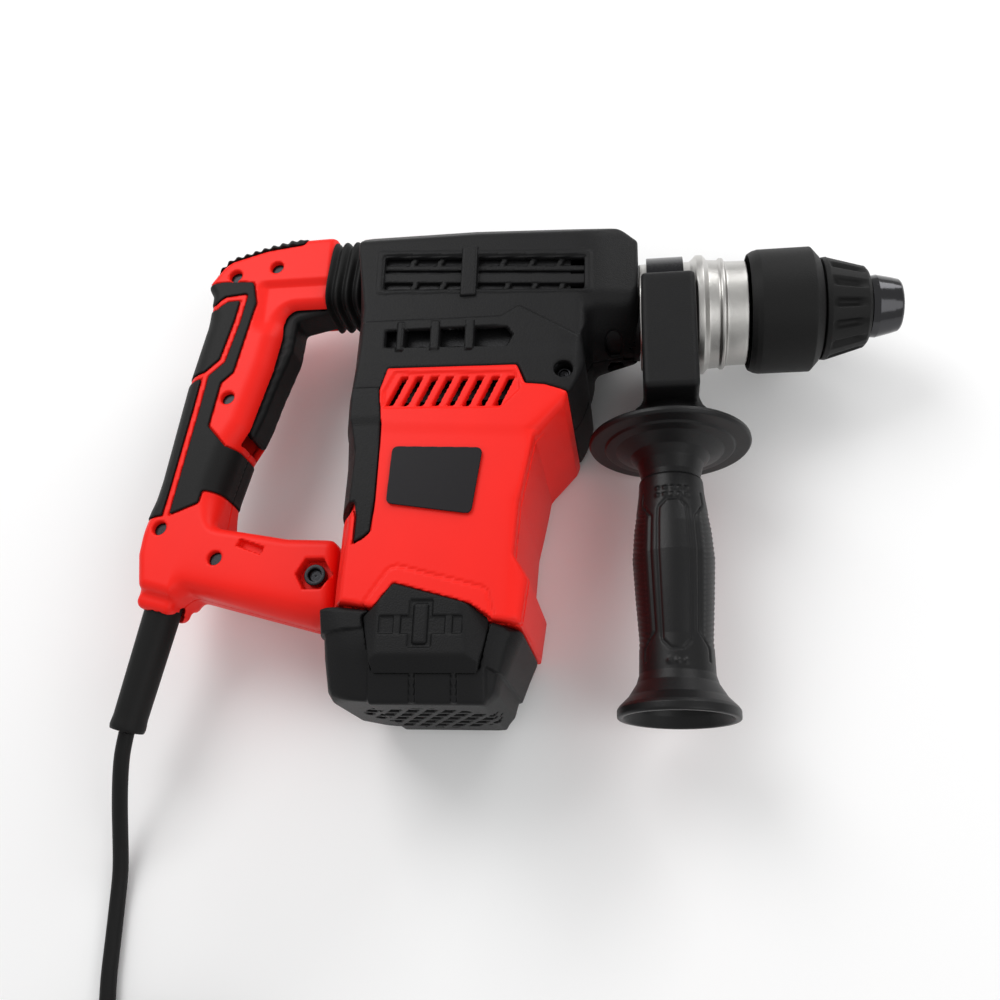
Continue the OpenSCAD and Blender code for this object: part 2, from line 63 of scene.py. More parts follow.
def add_camera():
    right = Vector((0.98847, 0.03341, -0.14770))
    up = Vector((0.02459, 0.92699, 0.37429))
    data = bpy.data.cameras.new("camera")
    data.lens = 34.88
    data.sensor_width = 36.0
    camera = bpy.data.objects.new("camera", data)
    turn = Matrix((right, up, right.cross(up))).transposed().to_4x4()
    camera.matrix_world = Matrix.Translation((-0.12676, -0.27672, 0.43437)) @ turn
    bpy.context.scene.collection.objects.link(camera)
    bpy.context.scene.camera = camera


def add_light(name, place, target, size, power):
    data = bpy.data.lights.new(name, "AREA")
    data.shape = "SQUARE"
    data.size = size
    data.energy = power
    lamp = bpy.data.objects.new(name, data)
    lamp.location = place
    lamp.rotation_euler = (Vector(target) - Vector(place)).to_track_quat("-Z", "Y").to_euler()
    bpy.context.scene.collection.objects.link(lamp)


def add_studio():
    centre = (-0.21, -0.08, 0)
    add_light("key", (-0.75, 0.55, 0.95), centre, 0.7, 7.0)
    add_light("fill", (0.55, -0.5, 0.8), centre, 0.8, 3.2)
    add_light("rim", (0.35, 0.75, 0.5), centre, 0.5, 3.2)
    world = bpy.data.worlds.new("studio")
    world.use_nodes = True
    world.node_tree.nodes["Background"].inputs["Color"].default_value = (1, 1, 1, 1)
    world.node_tree.nodes["Background"].inputs["Strength"].default_value = 0.55
    bpy.context.scene.world = world
    bpy.context.scene.view_settings.view_transform = "Standard"
    mesh = bpy.data.meshes.new("floor")
    reach = 6.0
    level = FLOOR_Z - FLOOR_GAP
    mesh.from_pydata([(-reach, -reach, level), (reach, -reach, level), (reach, reach, level),
                      (-reach, reach, level)], [], [(0, 1, 2, 3)])
    floor = bpy.data.objects.new("floor", mesh)
    bpy.context.scene.collection.objects.link(floor)
    floor.data.materials.append(finish("floor_paper", (0.96, 0.96, 0.96), 0.9, grain=0.0, mottle=0.0))


# -------- materials

def finish(name, colour, roughness, metallic=0.0, grain=0.25, grain_size=0.6, mottle=0.12,
           brushed=None, shine=0.5):
    """A moulded, cast or brushed surface. grain is the bump's strength, grain_size its size in mm."""
    if name in bpy.data.materials:
        return bpy.data.materials[name]
    made = bpy.data.materials.new(name)
    made.use_nodes = True
    tree = made.node_tree
    shader = tree.nodes["Principled BSDF"]
    shader.inputs["Metallic"].default_value = metallic
    shader.inputs["Specular IOR Level"].default_value = shine
    place = tree.nodes.new("ShaderNodeTexCoord")
    broad = tree.nodes.new("ShaderNodeTexNoise")
    broad.inputs["Scale"].default_value = 45.0
    broad.inputs["Detail"].default_value = 4.0
    tree.links.new(place.outputs["Object"], broad.inputs["Vector"])
    tint = tree.nodes.new("ShaderNodeMix")
    tint.data_type = "RGBA"
    tint.inputs["A"].default_value = (*[c * (1 - mottle) for c in colour], 1)
    tint.inputs["B"].default_value = (*[min(1, c * (1 + mottle)) for c in colour], 1)
    tree.links.new(broad.outputs["Fac"], tint.inputs["Factor"])
    tree.links.new(tint.outputs["Result"], shader.inputs["Base Color"])
    fine = tree.nodes.new("ShaderNodeTexNoise")
    fine.inputs["Scale"].default_value = 1 / (grain_size * MM)
    fine.inputs["Detail"].default_value = 3.0
    stretch = tree.nodes.new("ShaderNodeMapping")
    if brushed:
        stretch.inputs["Scale"].default_value = brushed
    tree.links.new(place.outputs["Object"], stretch.inputs["Vector"])
    tree.links.new(stretch.outputs["Vector"], fine.inputs["Vector"])
    rough = tree.nodes.new("ShaderNodeMapRange")
    rough.inputs["To Min"].default_value = max(0.03, roughness - 0.08)
    rough.inputs["To Max"].default_value = min(1, roughness + 0.08)
    tree.links.new(fine.outputs["Fac"], rough.inputs["Value"])
    tree.links.new(rough.outputs["Result"], shader.inputs["Roughness"])
    if grain:
        bump = tree.nodes.new("ShaderNodeBump")
        bump.inputs["Strength"].default_value = grain
        bump.inputs["Distance"].default_value = 0.0003
        tree.links.new(fine.outputs["Fac"], bump.inputs["Height"])
        tree.links.new(bump.outputs["Normal"], shader.inputs["Normal"])
    return made


def red_plastic():
    return finish("moulded_red", (0.88, 0.016, 0.010), 0.42, grain=0.10, grain_size=0.5, mottle=0.04,
                  shine=0.16)


def black_plastic():
    return finish("moulded_black", (0.0070, 0.0070, 0.0074), 0.50, grain=0.6, grain_size=0.7, shine=0.17)


def smooth_black():
    return finish("polished_black", (0.0062, 0.0062, 0.0066), 0.38, grain=0.25, grain_size=0.6, shine=0.25)


def rubber():
    return finish("matte_rubber", (0.0062, 0.0062, 0.0062), 0.56, grain=0.35, grain_size=0.6, shine=0.2)


def satin_alloy():
    return finish("brushed_alloy", (0.53, 0.52, 0.50), 0.32, metallic=1.0, grain=0.16, grain_size=0.5,
                  mottle=0.05, brushed=(9.0, 1.0, 1.0))


# Painted shade: the casting's colour is set near black, so the gearcase seen through the vent windows
# looks like deep shadow.
def casting_with_painted_shade():
    return finish("rough_casting_painted_dark", (0.026, 0.026, 0.027), 0.5, metallic=0.9, grain=0.4, grain_size=0.9)


def bright_steel():
    return finish("ground_steel", (0.55, 0.55, 0.56), 0.24, metallic=1.0, grain=0.05, mottle=0.04)


# Painted shade: the chrome's colour is set far darker than steel, so it looks as if it reflected dark
# surroundings; only its highlights come from the lamps.
def dark_chrome():
    return finish("mirror_chrome_painted_dark", (0.055, 0.055, 0.058), 0.14, metallic=1.0, grain=0.0, mottle=0.05)


def blued_steel():
    return finish("oiled_steel", (0.018, 0.018, 0.020), 0.26, metallic=0.9, grain=0.05)


def plate_ink():
    return finish("blank_foil", (0.009, 0.008, 0.0095), 0.45, grain=0.06, mottle=0.06, shine=0.15)


def copper():
    return finish("wound_copper", (0.72, 0.30, 0.14), 0.33, metallic=1.0, grain=0.1, mottle=0.1)


def carbon():
    return finish("pressed_carbon", (0.02, 0.02, 0.02), 0.6, grain=0.2, mottle=0.2)


# -------- pieces and meshes

def piece(name, mesh, material, body, slot, *stands_for):
    """An object that rides on a body and may stand for CAD nodes."""
    made = bpy.data.objects.new(name, mesh)
    bpy.context.scene.collection.objects.link(made)
    mesh.materials.clear()
    mesh.materials.append(material)
    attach(made, body)
    if stands_for:
        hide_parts(*stands_for)
    return made


def mesh_from(name, points, faces, normals=None):
    """A smooth mesh from points in working millimetres and faces all of one size."""
    mesh = bpy.data.meshes.new(name)
    faces = np.asarray(faces, np.int32)
    count, sides = faces.shape
    mesh.vertices.add(len(points))
    mesh.vertices.foreach_set("co", to_row(points).astype(np.float32).ravel())
    mesh.loops.add(count * sides)
    mesh.loops.foreach_set("vertex_index", faces.ravel())
    mesh.polygons.add(count)
    mesh.polygons.foreach_set("loop_start", np.arange(0, count * sides, sides, dtype=np.int32))
    mesh.update(calc_edges=True)
    mesh.validate()
    mesh.shade_smooth()
    if normals is not None:
        mesh.normals_split_custom_set_from_vertices(normals)
    return mesh


def mirrored(mesh, name):
    """The same mesh on the tool's other side."""
    other = mesh.copy()
    other.name = name
    normals = np.array([v.vector for v in mesh.vertex_normals]) * [1, 1, -1]
    other.transform(Matrix.Scale(-1, 4, (0, 0, 1)))
    other.flip_normals()
    other.normals_split_custom_set_from_vertices(normals)
    return other


# -------- distance fields

def rounded(points, radius, steps=5):
    """The outline with each corner replaced by an arc, as far as its sides allow."""
    ring = []
    points = [np.array(p, float) for p in points]
    for before, corner, after in zip(points[-1:] + points[:-1], points, points[1:] + points[:1]):
        a, b = before - corner, after - corner
        la, lb = np.linalg.norm(a), np.linalg.norm(b)
        a, b = a / la, b / lb
        half = math.acos(np.clip(a @ b, -0.9999, 0.9999)) / 2
        reach = min(radius / math.tan(half), 0.48 * la, 0.48 * lb)
        start, end = corner + a * reach, corner + b * reach
        for t in np.linspace(0, 1, steps):
            ring.append((1 - t) ** 2 * start + 2 * t * (1 - t) * corner + t ** 2 * end)
    return np.array(ring)


def gridded(measure, low, high, cell=0.5):
    """A distance in the XY plane, kept on a fine grid so that it is quick to read many times."""
    xs = np.arange(low[0], high[0] + cell, cell)
    ys = np.arange(low[1], high[1] + cell, cell)
    kept = measure(xs[:, None], ys[None, :])

    def field(x, y):
        u, v = (x - low[0]) / cell, (y - low[1]) / cell
        cu, cv = np.clip(u, 0, len(xs) - 1.001), np.clip(v, 0, len(ys) - 1.001)
        i, j = cu.astype(int), cv.astype(int)
        fu, fv = cu - i, cv - j
        lower = kept[i, j] * (1 - fu) + kept[i + 1, j] * fu
        upper = kept[i, j + 1] * (1 - fu) + kept[i + 1, j + 1] * fu
        return lower * (1 - fv) + upper * fv + cell * np.hypot(u - cu, v - cv)
    return field


def to_segments(starts, ends, x, y):
    """Squared distance to the nearest of some segments, and whether the point is inside them."""
    best = np.full(np.broadcast(x, y).shape, 1e9)
    inside = np.zeros(best.shape, bool)
    for a, b in zip(starts, ends):
        ex, ey = b - a
        wx, wy = x - a[0], y - a[1]
        t = np.clip((wx * ex + wy * ey) / max(ex * ex + ey * ey, 1e-9), 0, 1)
        best = np.minimum(best, (wx - ex * t) ** 2 + (wy - ey * t) ** 2)
        if ey:
            inside ^= ((a[1] > y) != (b[1] > y)) & (x < a[0] + ex * wy / ey)
    return best, inside


def polygon(points, radius=0.0, margin=14.0):
    """Signed distance from a closed outline, negative inside."""
    ring = rounded(points, radius) if radius else np.array(points, float)

    def measure(x, y):
        best, inside = to_segments(ring, np.roll(ring, -1, axis=0), x, y)
        return np.where(inside, -1, 1) * np.sqrt(best)
    return gridded(measure, ring.min(0) - margin, ring.max(0) + margin)


def chain(points, margin=8.0):
    """Distance from an open line."""
    line = np.array(points, float)

    def measure(x, y):
        return np.sqrt(to_segments(line[:-1], line[1:], x, y)[0])
    return gridded(measure, line.min(0) - margin, line.max(0) + margin)


def ramp(distance, width):
    """1 well inside, 0 well outside, over a slope of the given width."""
    t = np.clip(0.5 - distance / width, 0, 1)
    return t * t * (3 - 2 * t)


def above(value, soft):
    """The value where it is positive, with a rounded start."""
    return 0.5 * (value + np.sqrt(value ** 2 + soft ** 2))


def slab(outline, z, half, edge):
    """The outline standing from -half to half along Z, with rounded edges."""
    across, along = outline + edge, np.abs(z) - half + edge
    outside = np.hypot(np.maximum(across, 0), np.maximum(along, 0))
    return np.minimum(np.maximum(across, along), 0) + outside - edge


def both(a, b, soft=0.0):
    """Where a and b are both filled."""
    if not soft:
        return np.maximum(a, b)
    h = np.clip(0.5 + 0.5 * (a - b) / soft, 0, 1)
    return b + (a - b) * h + soft * h * (1 - h)


def either(a, b, soft=0.0):
    """Where a or b is filled."""
    return -both(-a, -b, soft)


def without(a, b, soft=0.0):
    """Where a is filled and b is not."""
    return both(a, -b, soft)


def box(x, y, z, low, high, edge=0.0):
    parts = [np.abs(c - (l + h) / 2) - (h - l) / 2 + edge for c, l, h in zip((x, y, z), low, high)]
    outside = sum(np.maximum(p, 0) ** 2 for p in parts) ** 0.5
    return np.minimum(np.maximum(np.maximum(parts[0], parts[1]), parts[2]), 0) + outside - edge


def hole(x, y, z, at, radius, floor):
    """A round hole from the right side down to the given height."""
    return both(np.hypot(x - at[0], y - at[1]) - radius, floor - z)


def slope(field, points, reach=0.12):
    """Direction and rate in which the field grows."""
    grown = np.empty_like(points)
    for axis in range(3):
        step = np.zeros(3)
        step[axis] = reach
        grown[:, axis] = (field(*(points + step).T) - field(*(points - step).T)) / (2 * reach)
    return grown


def drawn_onto(field, points, reach):
    """The points moved on to the field's surface, by at most the reach at a time."""
    for _ in range(2):
        rate = slope(field, points)
        size = np.maximum((rate ** 2).sum(1), 0.15)
        move = rate * (field(*points.T) / size)[:, None]
        length = np.maximum(np.linalg.norm(move, axis=1), 1e-9)
        points = points - move * np.minimum(1, reach / length)[:, None]
    return points


CORNERS = np.array([(i, j, k) for i in (0, 1) for j in (0, 1) for k in (0, 1)])
EDGES = [(a, b) for a in range(8) for b in range(a + 1, 8) if abs(CORNERS[a] - CORNERS[b]).sum() == 1]


def net(values):
    """Surface net of a grid of distances: points in grid steps, and four-sided faces."""
    inside = values < 0
    shape = np.array(values.shape) - 1
    count = sum(inside[i:i + shape[0], j:j + shape[1], k:k + shape[2]].astype(np.int8)
                for i, j, k in CORNERS)
    cells = np.argwhere((count > 0) & (count < 8))
    near = np.stack([values[tuple((cells + c).T)] for c in CORNERS], 1)
    total, crossings = np.zeros((len(cells), 3)), np.zeros(len(cells))
    for a, b in EDGES:
        cut = (near[:, a] < 0) != (near[:, b] < 0)
        gap = np.where(cut, near[:, a] - near[:, b], 1.0)
        t = (near[:, a] / gap)[:, None]
        total += np.where(cut[:, None], CORNERS[a] + t * (CORNERS[b] - CORNERS[a]), 0)
        crossings += cut
    number = np.full(tuple(shape), -1, np.int32)
    number[tuple(cells.T)] = np.arange(len(cells))
    faces = []
    for axis in range(3):
        turned = np.moveaxis(inside, (axis, (axis + 1) % 3, (axis + 2) % 3), (0, 1, 2))
        cell_no = np.moveaxis(number, (axis, (axis + 1) % 3, (axis + 2) % 3), (0, 1, 2))
        flips = np.argwhere(turned[:-1, 1:-1, 1:-1] != turned[1:, 1:-1, 1:-1])
        i, j, k = flips[:, 0], flips[:, 1] + 1, flips[:, 2] + 1
        quad = np.stack([cell_no[i, j - 1, k - 1], cell_no[i, j, k - 1], cell_no[i, j, k],
                         cell_no[i, j - 1, k]], 1)
        outwards = turned[i, j, k]
        faces.append(np.where(outwards[:, None], quad, quad[:, ::-1]))
    return cells + total / crossings[:, None], np.concatenate(faces)


def largest_parts(points, faces, least=150):
    """Drops loose specks that have only a few faces."""
    label = np.arange(len(points))
    links = np.concatenate([faces[:, [0, 1]], faces[:, [1, 2]], faces[:, [2, 3]]])
    while True:
        lowest = np.minimum(label[links[:, 0]], label[links[:, 1]])
        before = label.copy()
        np.minimum.at(label, links[:, 0], lowest)
        np.minimum.at(label, links[:, 1], lowest)
        label = label[label]
        if (before == label).all():
            break
    size = np.bincount(label[faces[:, 0]], minlength=len(points))
    kept = faces[size[label[faces[:, 0]]] >= least]
    used = np.unique(kept)
    renumber = np.full(len(points), -1, np.int32)
    renumber[used] = np.arange(len(used))
    return points[used], renumber[kept]


def surface(name, field, low, high, step=1.0):
    """The mesh of a distance field that is negative inside, within the box from low to high."""
    axes = [np.arange(a - 2 * step, b + 2.5 * step, step) for a, b in zip(low, high)]
    x, y, z = np.ix_(*axes)
    values = np.broadcast_to(field(x, y, z), [len(a) for a in axes])
    points, faces = net(values)
    points, faces = largest_parts(points, faces)
    points = points * step + [a[0] for a in axes]
    points = drawn_onto(field, points, 0.5 * step)
    rate = slope(field, points)
    normals = rate / np.maximum(np.linalg.norm(rate, axis=1), 1e-9)[:, None]
    return mesh_from(name, points, faces, normals)


def turned(name, profile, axis, centre, segments=128, relief=None, spacing=1.2):
    """A closed profile of (along, radius) turned round the X axis or the -Y axis."""
    profile = np.array(profile, float)
    stations = []
    for a, b in zip(profile, np.roll(profile, -1, axis=0)):
        parts = max(1, int(np.linalg.norm(b - a) / spacing))
        stations += [a + (b - a) * t / parts for t in range(parts)]
    rows = np.array(stations)
    angle = np.linspace(0, 2 * math.pi, segments, endpoint=False)
    along = np.repeat(rows[:, :1], segments, 1)
    radius = np.repeat(rows[:, 1:], segments, 1)
    if relief:
        radius = radius + relief(along, radius, angle[None, :])
    side, up = radius * np.sin(angle), radius * np.cos(angle)
    if axis == "X":
        points = np.stack([along, side, up], 2).reshape(-1, 3)
    else:
        points = np.stack([side, -along, up], 2).reshape(-1, 3)
    points = points + np.array(centre, float)
    i, j = np.meshgrid(np.arange(len(rows)), np.arange(segments), indexing="ij")
    here, there = i * segments + j, i * segments + (j + 1) % segments
    below = ((i + 1) % len(rows)) * segments + j
    opposite = ((i + 1) % len(rows)) * segments + (j + 1) % segments
    faces = np.stack([here, there, opposite, below], -1).reshape(-1, 4)
    mesh = mesh_from(name, points, faces)
    outward = sum(p.normal.dot(p.center - Vector(to_row(centre))) * p.area for p in mesh.polygons)
    if outward < 0:
        mesh.flip_normals()
    return mesh


# -------- the cord and what is on it

CORD_ROUTE = [
    (-378, -212, -10), (-380, -222, -13), (-382, -234, -19), (-384, -247, -27), (-385, -260, -34),
    (-385, -274, -39), (-385, -289, -41.2), (-384, -305, -41.2), (-383, -321, -41.2),
    (-381, -337, -41.2), (-379.5, -352, -41.2), (-379, -366, -41.2),
]
COIL_AT = (-336.5, -396.0)
COIL_PITCH = 7.7
COIL_R = 42.5
COIL_LEVEL = 7.45
COIL_LOW = -41.2
COLUMN_OF_TURN = [0, -1, -1, 0, 1, 1, 0, -1, -1, 0]
LAYER_OF_TURN = [0, 0, 1, 1, 1, 2, 2, 2, 3, 3]
STEPS_PER_TURN = 20
PLUG_AXIS_Z = 0.0
PLUG_FLAT_Z = -15.0
LAST_RISE = 0.4
TAIL_ANGLE = math.radians(44)


def coil_points():
    """Turns laid beside and on each other, each stepping over to the next in its last third."""
    points = []
    turns = len(COLUMN_OF_TURN)
    for n in range(round((turns - LAST_RISE) * STEPS_PER_TURN)):
        whole, share = divmod(n / STEPS_PER_TURN, 1)
        this, following = min(int(whole), turns - 1), min(int(whole) + 1, turns - 1)
        t = np.clip((share - 0.67) / 0.33, 0, 1)
        t = t * t * (3 - 2 * t)
        column = COLUMN_OF_TURN[this] * (1 - t) + COLUMN_OF_TURN[following] * t
        layer = LAYER_OF_TURN[this] * (1 - t) + LAYER_OF_TURN[following] * t
        r = COIL_R + COIL_PITCH * column
        a = math.pi + 2 * math.pi * n / STEPS_PER_TURN
        points.append((COIL_AT[0] + r * math.cos(a), COIL_AT[1] + r * math.sin(a),
                       COIL_LOW + COIL_LEVEL * layer))
    return points


def tail_points():
    """The last part of a turn, rising evenly to the plug, which lies on the ring."""
    top = COIL_LOW + COIL_LEVEL * LAYER_OF_TURN[-1]
    points = []
    for t in np.linspace(0, 1, 14):
        a = math.pi - 2 * math.pi * LAST_RISE * (1 - t) + TAIL_ANGLE * t
        rise = (PLUG_AXIS_Z - top) * t * t * (3 - 2 * t)
        points.append((COIL_AT[0] + COIL_R * math.cos(a), COIL_AT[1] + COIL_R * math.sin(a), top + rise))
    return points


def smooth_line(points, parts=3):
    """A Catmull-Rom curve through the points."""
    p = np.array([points[0], *points, points[-1]], float)
    line = []
    for a, b, c, d in zip(p[:-3], p[1:-2], p[2:-1], p[3:]):
        for t in np.arange(parts) / parts:
            line.append(0.5 * (2 * b + (c - a) * t + (2 * a - 5 * b + 4 * c - d) * t * t
                               + (3 * b - a - 3 * c + d) * t ** 3))
    return np.array(line + [p[-2]])


def tube(name, line, radii, sides=20):
    """A closed tube along a line, with a radius at each point. Points are in row millimetres."""
    line = np.array(line, float)
    heading = np.gradient(line, axis=0)
    heading /= np.linalg.norm(heading, axis=1)[:, None]
    up = np.array([0, 0, 1.0])
    rings = []
    for centre, ahead, radius in zip(line, heading, radii):
        across = np.cross(ahead, up)
        across /= np.linalg.norm(across)
        over = np.cross(across, ahead)
        a = np.linspace(0, 2 * math.pi, sides, endpoint=False)[:, None]
        rings.append(centre + radius * (np.cos(a) * across + np.sin(a) * over))
    points = np.concatenate([*rings, line[:1], line[-1:]]) + [NOSE, 0, 0]
    faces = []
    for i in range(len(line) - 1):
        for k in range(sides):
            a, b = i * sides + k, i * sides + (k + 1) % sides
            faces.append((a, b, b + sides, a + sides))
    last = (len(line) - 1) * sides
    start, end = len(line) * sides, len(line) * sides + 1
    for k in range(0, sides, 2):
        faces.append((start, (k + 2) % sides, k + 1, k))
        faces.append((end, last + k, last + k + 1, last + (k + 2) % sides))
    return mesh_from(name, points, faces)


def add_cord():
    route = smooth_line(CORD_ROUTE, 2)[:-1].tolist()
    line = [*route, *coil_points(), *tail_points()]
    line = smooth_line(line, 2)
    curve = bpy.data.curves.new("mains_cord", "CURVE")
    curve.dimensions = "3D"
    curve.bevel_depth = CORD_D / 2 * MM
    curve.bevel_resolution = 5
    curve.use_fill_caps = True
    spline = curve.splines.new("POLY")
    spline.points.add(len(line) - 1)
    for point, place in zip(spline.points, line * MM):
        point.co = (*place, 1)
    curve.materials.append(rubber())
    cord = bpy.data.objects.new("mains_cord", curve)
    bpy.context.scene.collection.objects.link(cord)
    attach(cord, "rear_handle")
    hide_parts("cord_lead", "cord_coil")
    length = np.linalg.norm(np.diff(line, axis=0), axis=1).sum() * MM
    return cord, length


add_camera()
add_studio()
cord, cord_length = add_cord()


def add_cord_ends():
    """Strain relief, plug with its own relief, and the tie round the coil."""
    start, end = np.array((-363.0, -149, 0.6)), np.array((-377.9, -211, -9.6))
    share = np.linspace(0, 1, 40)
    radii = 9.0 - 0.9 * share
    radii[-5:] += (0.0, 0.15, 0.35, 0.45, 0.1)
    line = start + (end - start) * share[:, None]
    mesh = tube("cord_relief", line, radii, 40)
    piece("cord_relief", mesh, rubber(), "rear_handle", "black_rubber", "strain_relief")

    middle = (COIL_AT[0] - 14 + NOSE, COIL_AT[1] - COIL_R, PLUG_AXIS_Z)
    outline = rounded([(0, 0.1), (0, 17), (26, 17.6), (36, 15.5), (36, 0.1)], 2.5)

    def ribbed(along, radius, angle):
        grip = np.exp(-((along - 13) / 7) ** 2)
        return -0.8 * grip * (0.5 + 0.5 * np.cos(28 * angle)) * (radius > 12)
    body = turned("plug", outline, "X", middle, 112, ribbed)
    co = np.empty(len(body.vertices) * 3, np.float32)
    body.vertices.foreach_get("co", co)
    co = co.reshape(-1, 3)
    co[:, 2] = np.maximum(co[:, 2], PLUG_FLAT_Z * MM)
    body.vertices.foreach_set("co", co.ravel())
    plug = piece("plug", body, rubber(), "rear_handle", "black_rubber", "plug_body")
    back = np.array(tail_points()[-1])
    bend = np.array((COIL_AT[0] - 18, COIL_AT[1] - COIL_R, PLUG_AXIS_Z))
    front = bend + (8, 0, 0)
    share = np.linspace(0, 1, 32)
    t = share[:, None]
    line = back * (1 - t) ** 2 + 2 * bend * t * (1 - t) + front * t * t
    radii = 4.2 + 2.3 * share + 0.35 * np.cos(share * 38)
    sleeve = tube("plug_relief", line, radii, 28)
    sleeve = piece("plug_relief", sleeve, rubber(), "rear_handle", "black_rubber")

    tie_at = (COIL_AT[0] + NOSE, COIL_AT[1] + COIL_R)
    low_z, high_z = FLOOR_Z / MM, COIL_LOW + LAYER_OF_TURN[-1] * COIL_LEVEL + 5.2

    def strap(x, y, z):
        loop = box(x, y, z, (tie_at[0] - 5, tie_at[1] - 12.4, low_z + 0.2),
                   (tie_at[0] + 5, tie_at[1] + 12.4, high_z), 4.0)
        shell = both(loop, -(loop + 1.3))
        return both(shell, np.abs(x - tie_at[0]) - 3.6, 0.6)
    mesh = surface("coil_tie", strap, (tie_at[0] - 6, tie_at[1] - 14, low_z),
                   (tie_at[0] + 6, tie_at[1] + 14, high_z + 1), 0.7)
    tie = piece("coil_tie", mesh, rubber(), "rear_handle", "black_rubber", "cord_tie")
    return plug, sleeve, tie


plug, plug_sleeve, coil_tie = add_cord_ends()


# -------- rear handle

HANDLE_HALF = 18.0
HANDLE = polygon([
    (-174, 52), (-195, 51.5), (-213, 47.4), (-234, 40.8), (-239, 36), (-246, 25), (-242, 18),
    (-245.5, -4), (-250.5, -37), (-255.5, -90), (-258, -106), (-259, -130), (-256, -147), (-238, -152),
    (-232, -148),
    (-168, -165), (-158, -165), (-158, -124), (-183, -123), (-222, -116), (-221, -95), (-216, -72),
    (-211, -62), (-203, -28), (-198, 8), (-174, 8),
], 5)
PAD = polygon([
    (-275, 20), (-236, 25), (-219, 24), (-216, 11), (-223, -31), (-229, -37), (-232, -62), (-222, -73),
    (-195, -77), (-196, -106), (-218, -98), (-230, -97), (-231, -104), (-245, -110), (-275, -113),
], 2)
STRIPES = [
    chain([(-256, 12), (-238, 10), (-233, 14), (-223, 15), (-225, 0), (-230, -24), (-238, -32),
           (-256, -35)]),
    chain([(-238, -32), (-240, -52), (-247, -112)]),
]
TOP_PAD = polygon([(-275, 20), (-247, 22), (-243, 30), (-236, 38), (-214, 44.5), (-193, 47), (-189, 60),
                   (-275, 60)], 1.5)
SCREW_WELLS = [(-207, 33), (-230, 29), (-224, -46), (-249, -117), (-218, -133)]
PIVOT = (-167.5, -141.5)
PIVOT_HOLE_R = 4.1
TRIGGER_SLOT = polygon([(-175.5, 18), (-204, 18), (-209, 0), (-218, -27), (-228, -60), (-222, -70),
                        (-200, -70), (-176, -20), (-160, 0)])
PAD_DEPTH = 1.3


def handle_form(x, y, z):
    """The handle's outer form, before its recesses."""
    grip = ramp(np.abs(y + 50) - 60, 24)
    edge = 5.0 + 7.0 * grip
    under_arm = ramp(y - 23, 5) * ramp(-214 - x, 8) * ramp(-y - 4, 12)
    below = above(-0.206 * (x + 238) - 0.978 * (y + 142), 3.0)
    bevel = np.minimum(below, 16) * ramp(-236 - x, 8)
    half = HANDLE_HALF - 2.6 * under_arm - 0.85 * bevel
    body = slab(HANDLE(x, y), z, half, edge)
    tilt = math.radians(14)
    u = (x + 248) * math.cos(tilt) - (y + 150) * math.sin(tilt)
    v = (x + 248) * math.sin(tilt) + (y + 150) * math.cos(tilt)
    boss = box(u, v, z + 0 * u, (-10, -7, -12), (10, 10, 12), 4.0)
    return either(body, boss, 3.0)


def stripe_line(x, y):
    return np.minimum(STRIPES[0](x, y), STRIPES[1](x, y))


def handle_shell(x, y, z):
    """The handle's right half: hollow, with recesses for rubber, screws, trigger and cord."""
    form = handle_form(x, y, z)
    stripe = ramp(stripe_line(x, y) - 1.5, 0.8)
    sunk = ramp(PAD(x, y) - 0.5, 1.0) * (1 - stripe)
    sunk = np.maximum(sunk, ramp(TOP_PAD(x, y) - 0.4, 1.0))
    d = form + PAD_DEPTH * sunk
    inside = both(form + 3.4, z - 13.0)
    for at in SCREW_WELLS:
        inside = without(inside, np.hypot(x - at[0], y - at[1]) - 6)
    inside = without(inside, np.hypot(x - PIVOT[0], y - PIVOT[1]) - 11)
    d = without(d, inside)
    for at in SCREW_WELLS:
        d = without(d, hole(x, y, z, at, 3.6, 12), 0.8)
    u, v = x - PIVOT[0], y - PIVOT[1]
    hexagon = np.maximum(np.abs(v), np.abs(u) * 0.866 + np.abs(v) * 0.5) - 7.6
    d = without(d, both(hexagon, 11 - z), 0.6)
    keyway = box((x + 200.5) * 0.94 - (y + 127.5) * 0.34, (x + 200.5) * 0.34 + (y + 127.5) * 0.94,
                 z, (-6.8, -1.8, 14), (6.8, 1.8, 40))
    d = without(d, keyway, 0.4)
    d = without(d, both(TRIGGER_SLOT(x, y), z - 10.3), 0.8)
    d = without(d, box(x, y, z, (-172, -155, -9), (-140, -130, 8)))
    d = without(d, both(np.hypot(x - PIVOT[0], y - PIVOT[1]) - PIVOT_HOLE_R, z - 30))
    cord_way = np.hypot(x + 248, z) - 9.1
    d = without(d, both(cord_way, y + 149))
    return both(d, 0.12 - z, 0.5)


def grip_skin(x, y, z):
    """The rubber laid in the handle's sunk fields, proud of the red by half a millimetre."""
    form = handle_form(x, y, z)
    d = both(form - 0.5, -(form + PAD_DEPTH - 0.15))
    d = both(d, PAD(x, y), 0.6)
    d = without(d, stripe_line(x, y) - 2.0, 0.6)
    d = without(d, TOP_PAD(x, y) - 0.6, 0.4)
    for at in SCREW_WELLS:
        d = without(d, hole(x, y, z, at, 3.9, 12), 0.4)
    return both(d, 0.15 - z, 0.3)


def top_ridges(x, y, z):
    """The ribbed rubber over the handle's top corner."""
    form = handle_form(x, y, z)
    ridges = 0.5 + 0.5 * np.cos(2 * math.pi * (x * 0.94 + y * 0.34) / 5.2)
    proud = 0.5 + 1.2 * ridges * ramp(-x - 240, 6) * ramp(x + 196, 4)
    d = both(form - proud, -(form + PAD_DEPTH - 0.15), 0.3)
    return both(both(d, TOP_PAD(x, y), 0.6), 0.15 - z, 0.3)


def add_pair(name, field, low, high, step, material, body, slot, right, left):
    """A shape on the right side and its mirror image on the left."""
    mesh = surface(name + "_right", field, low, high, step)
    piece(name + "_right", mesh, material, body, slot, *right)
    piece(name + "_left", mirrored(mesh, name + "_left"), material, body, slot, *left)


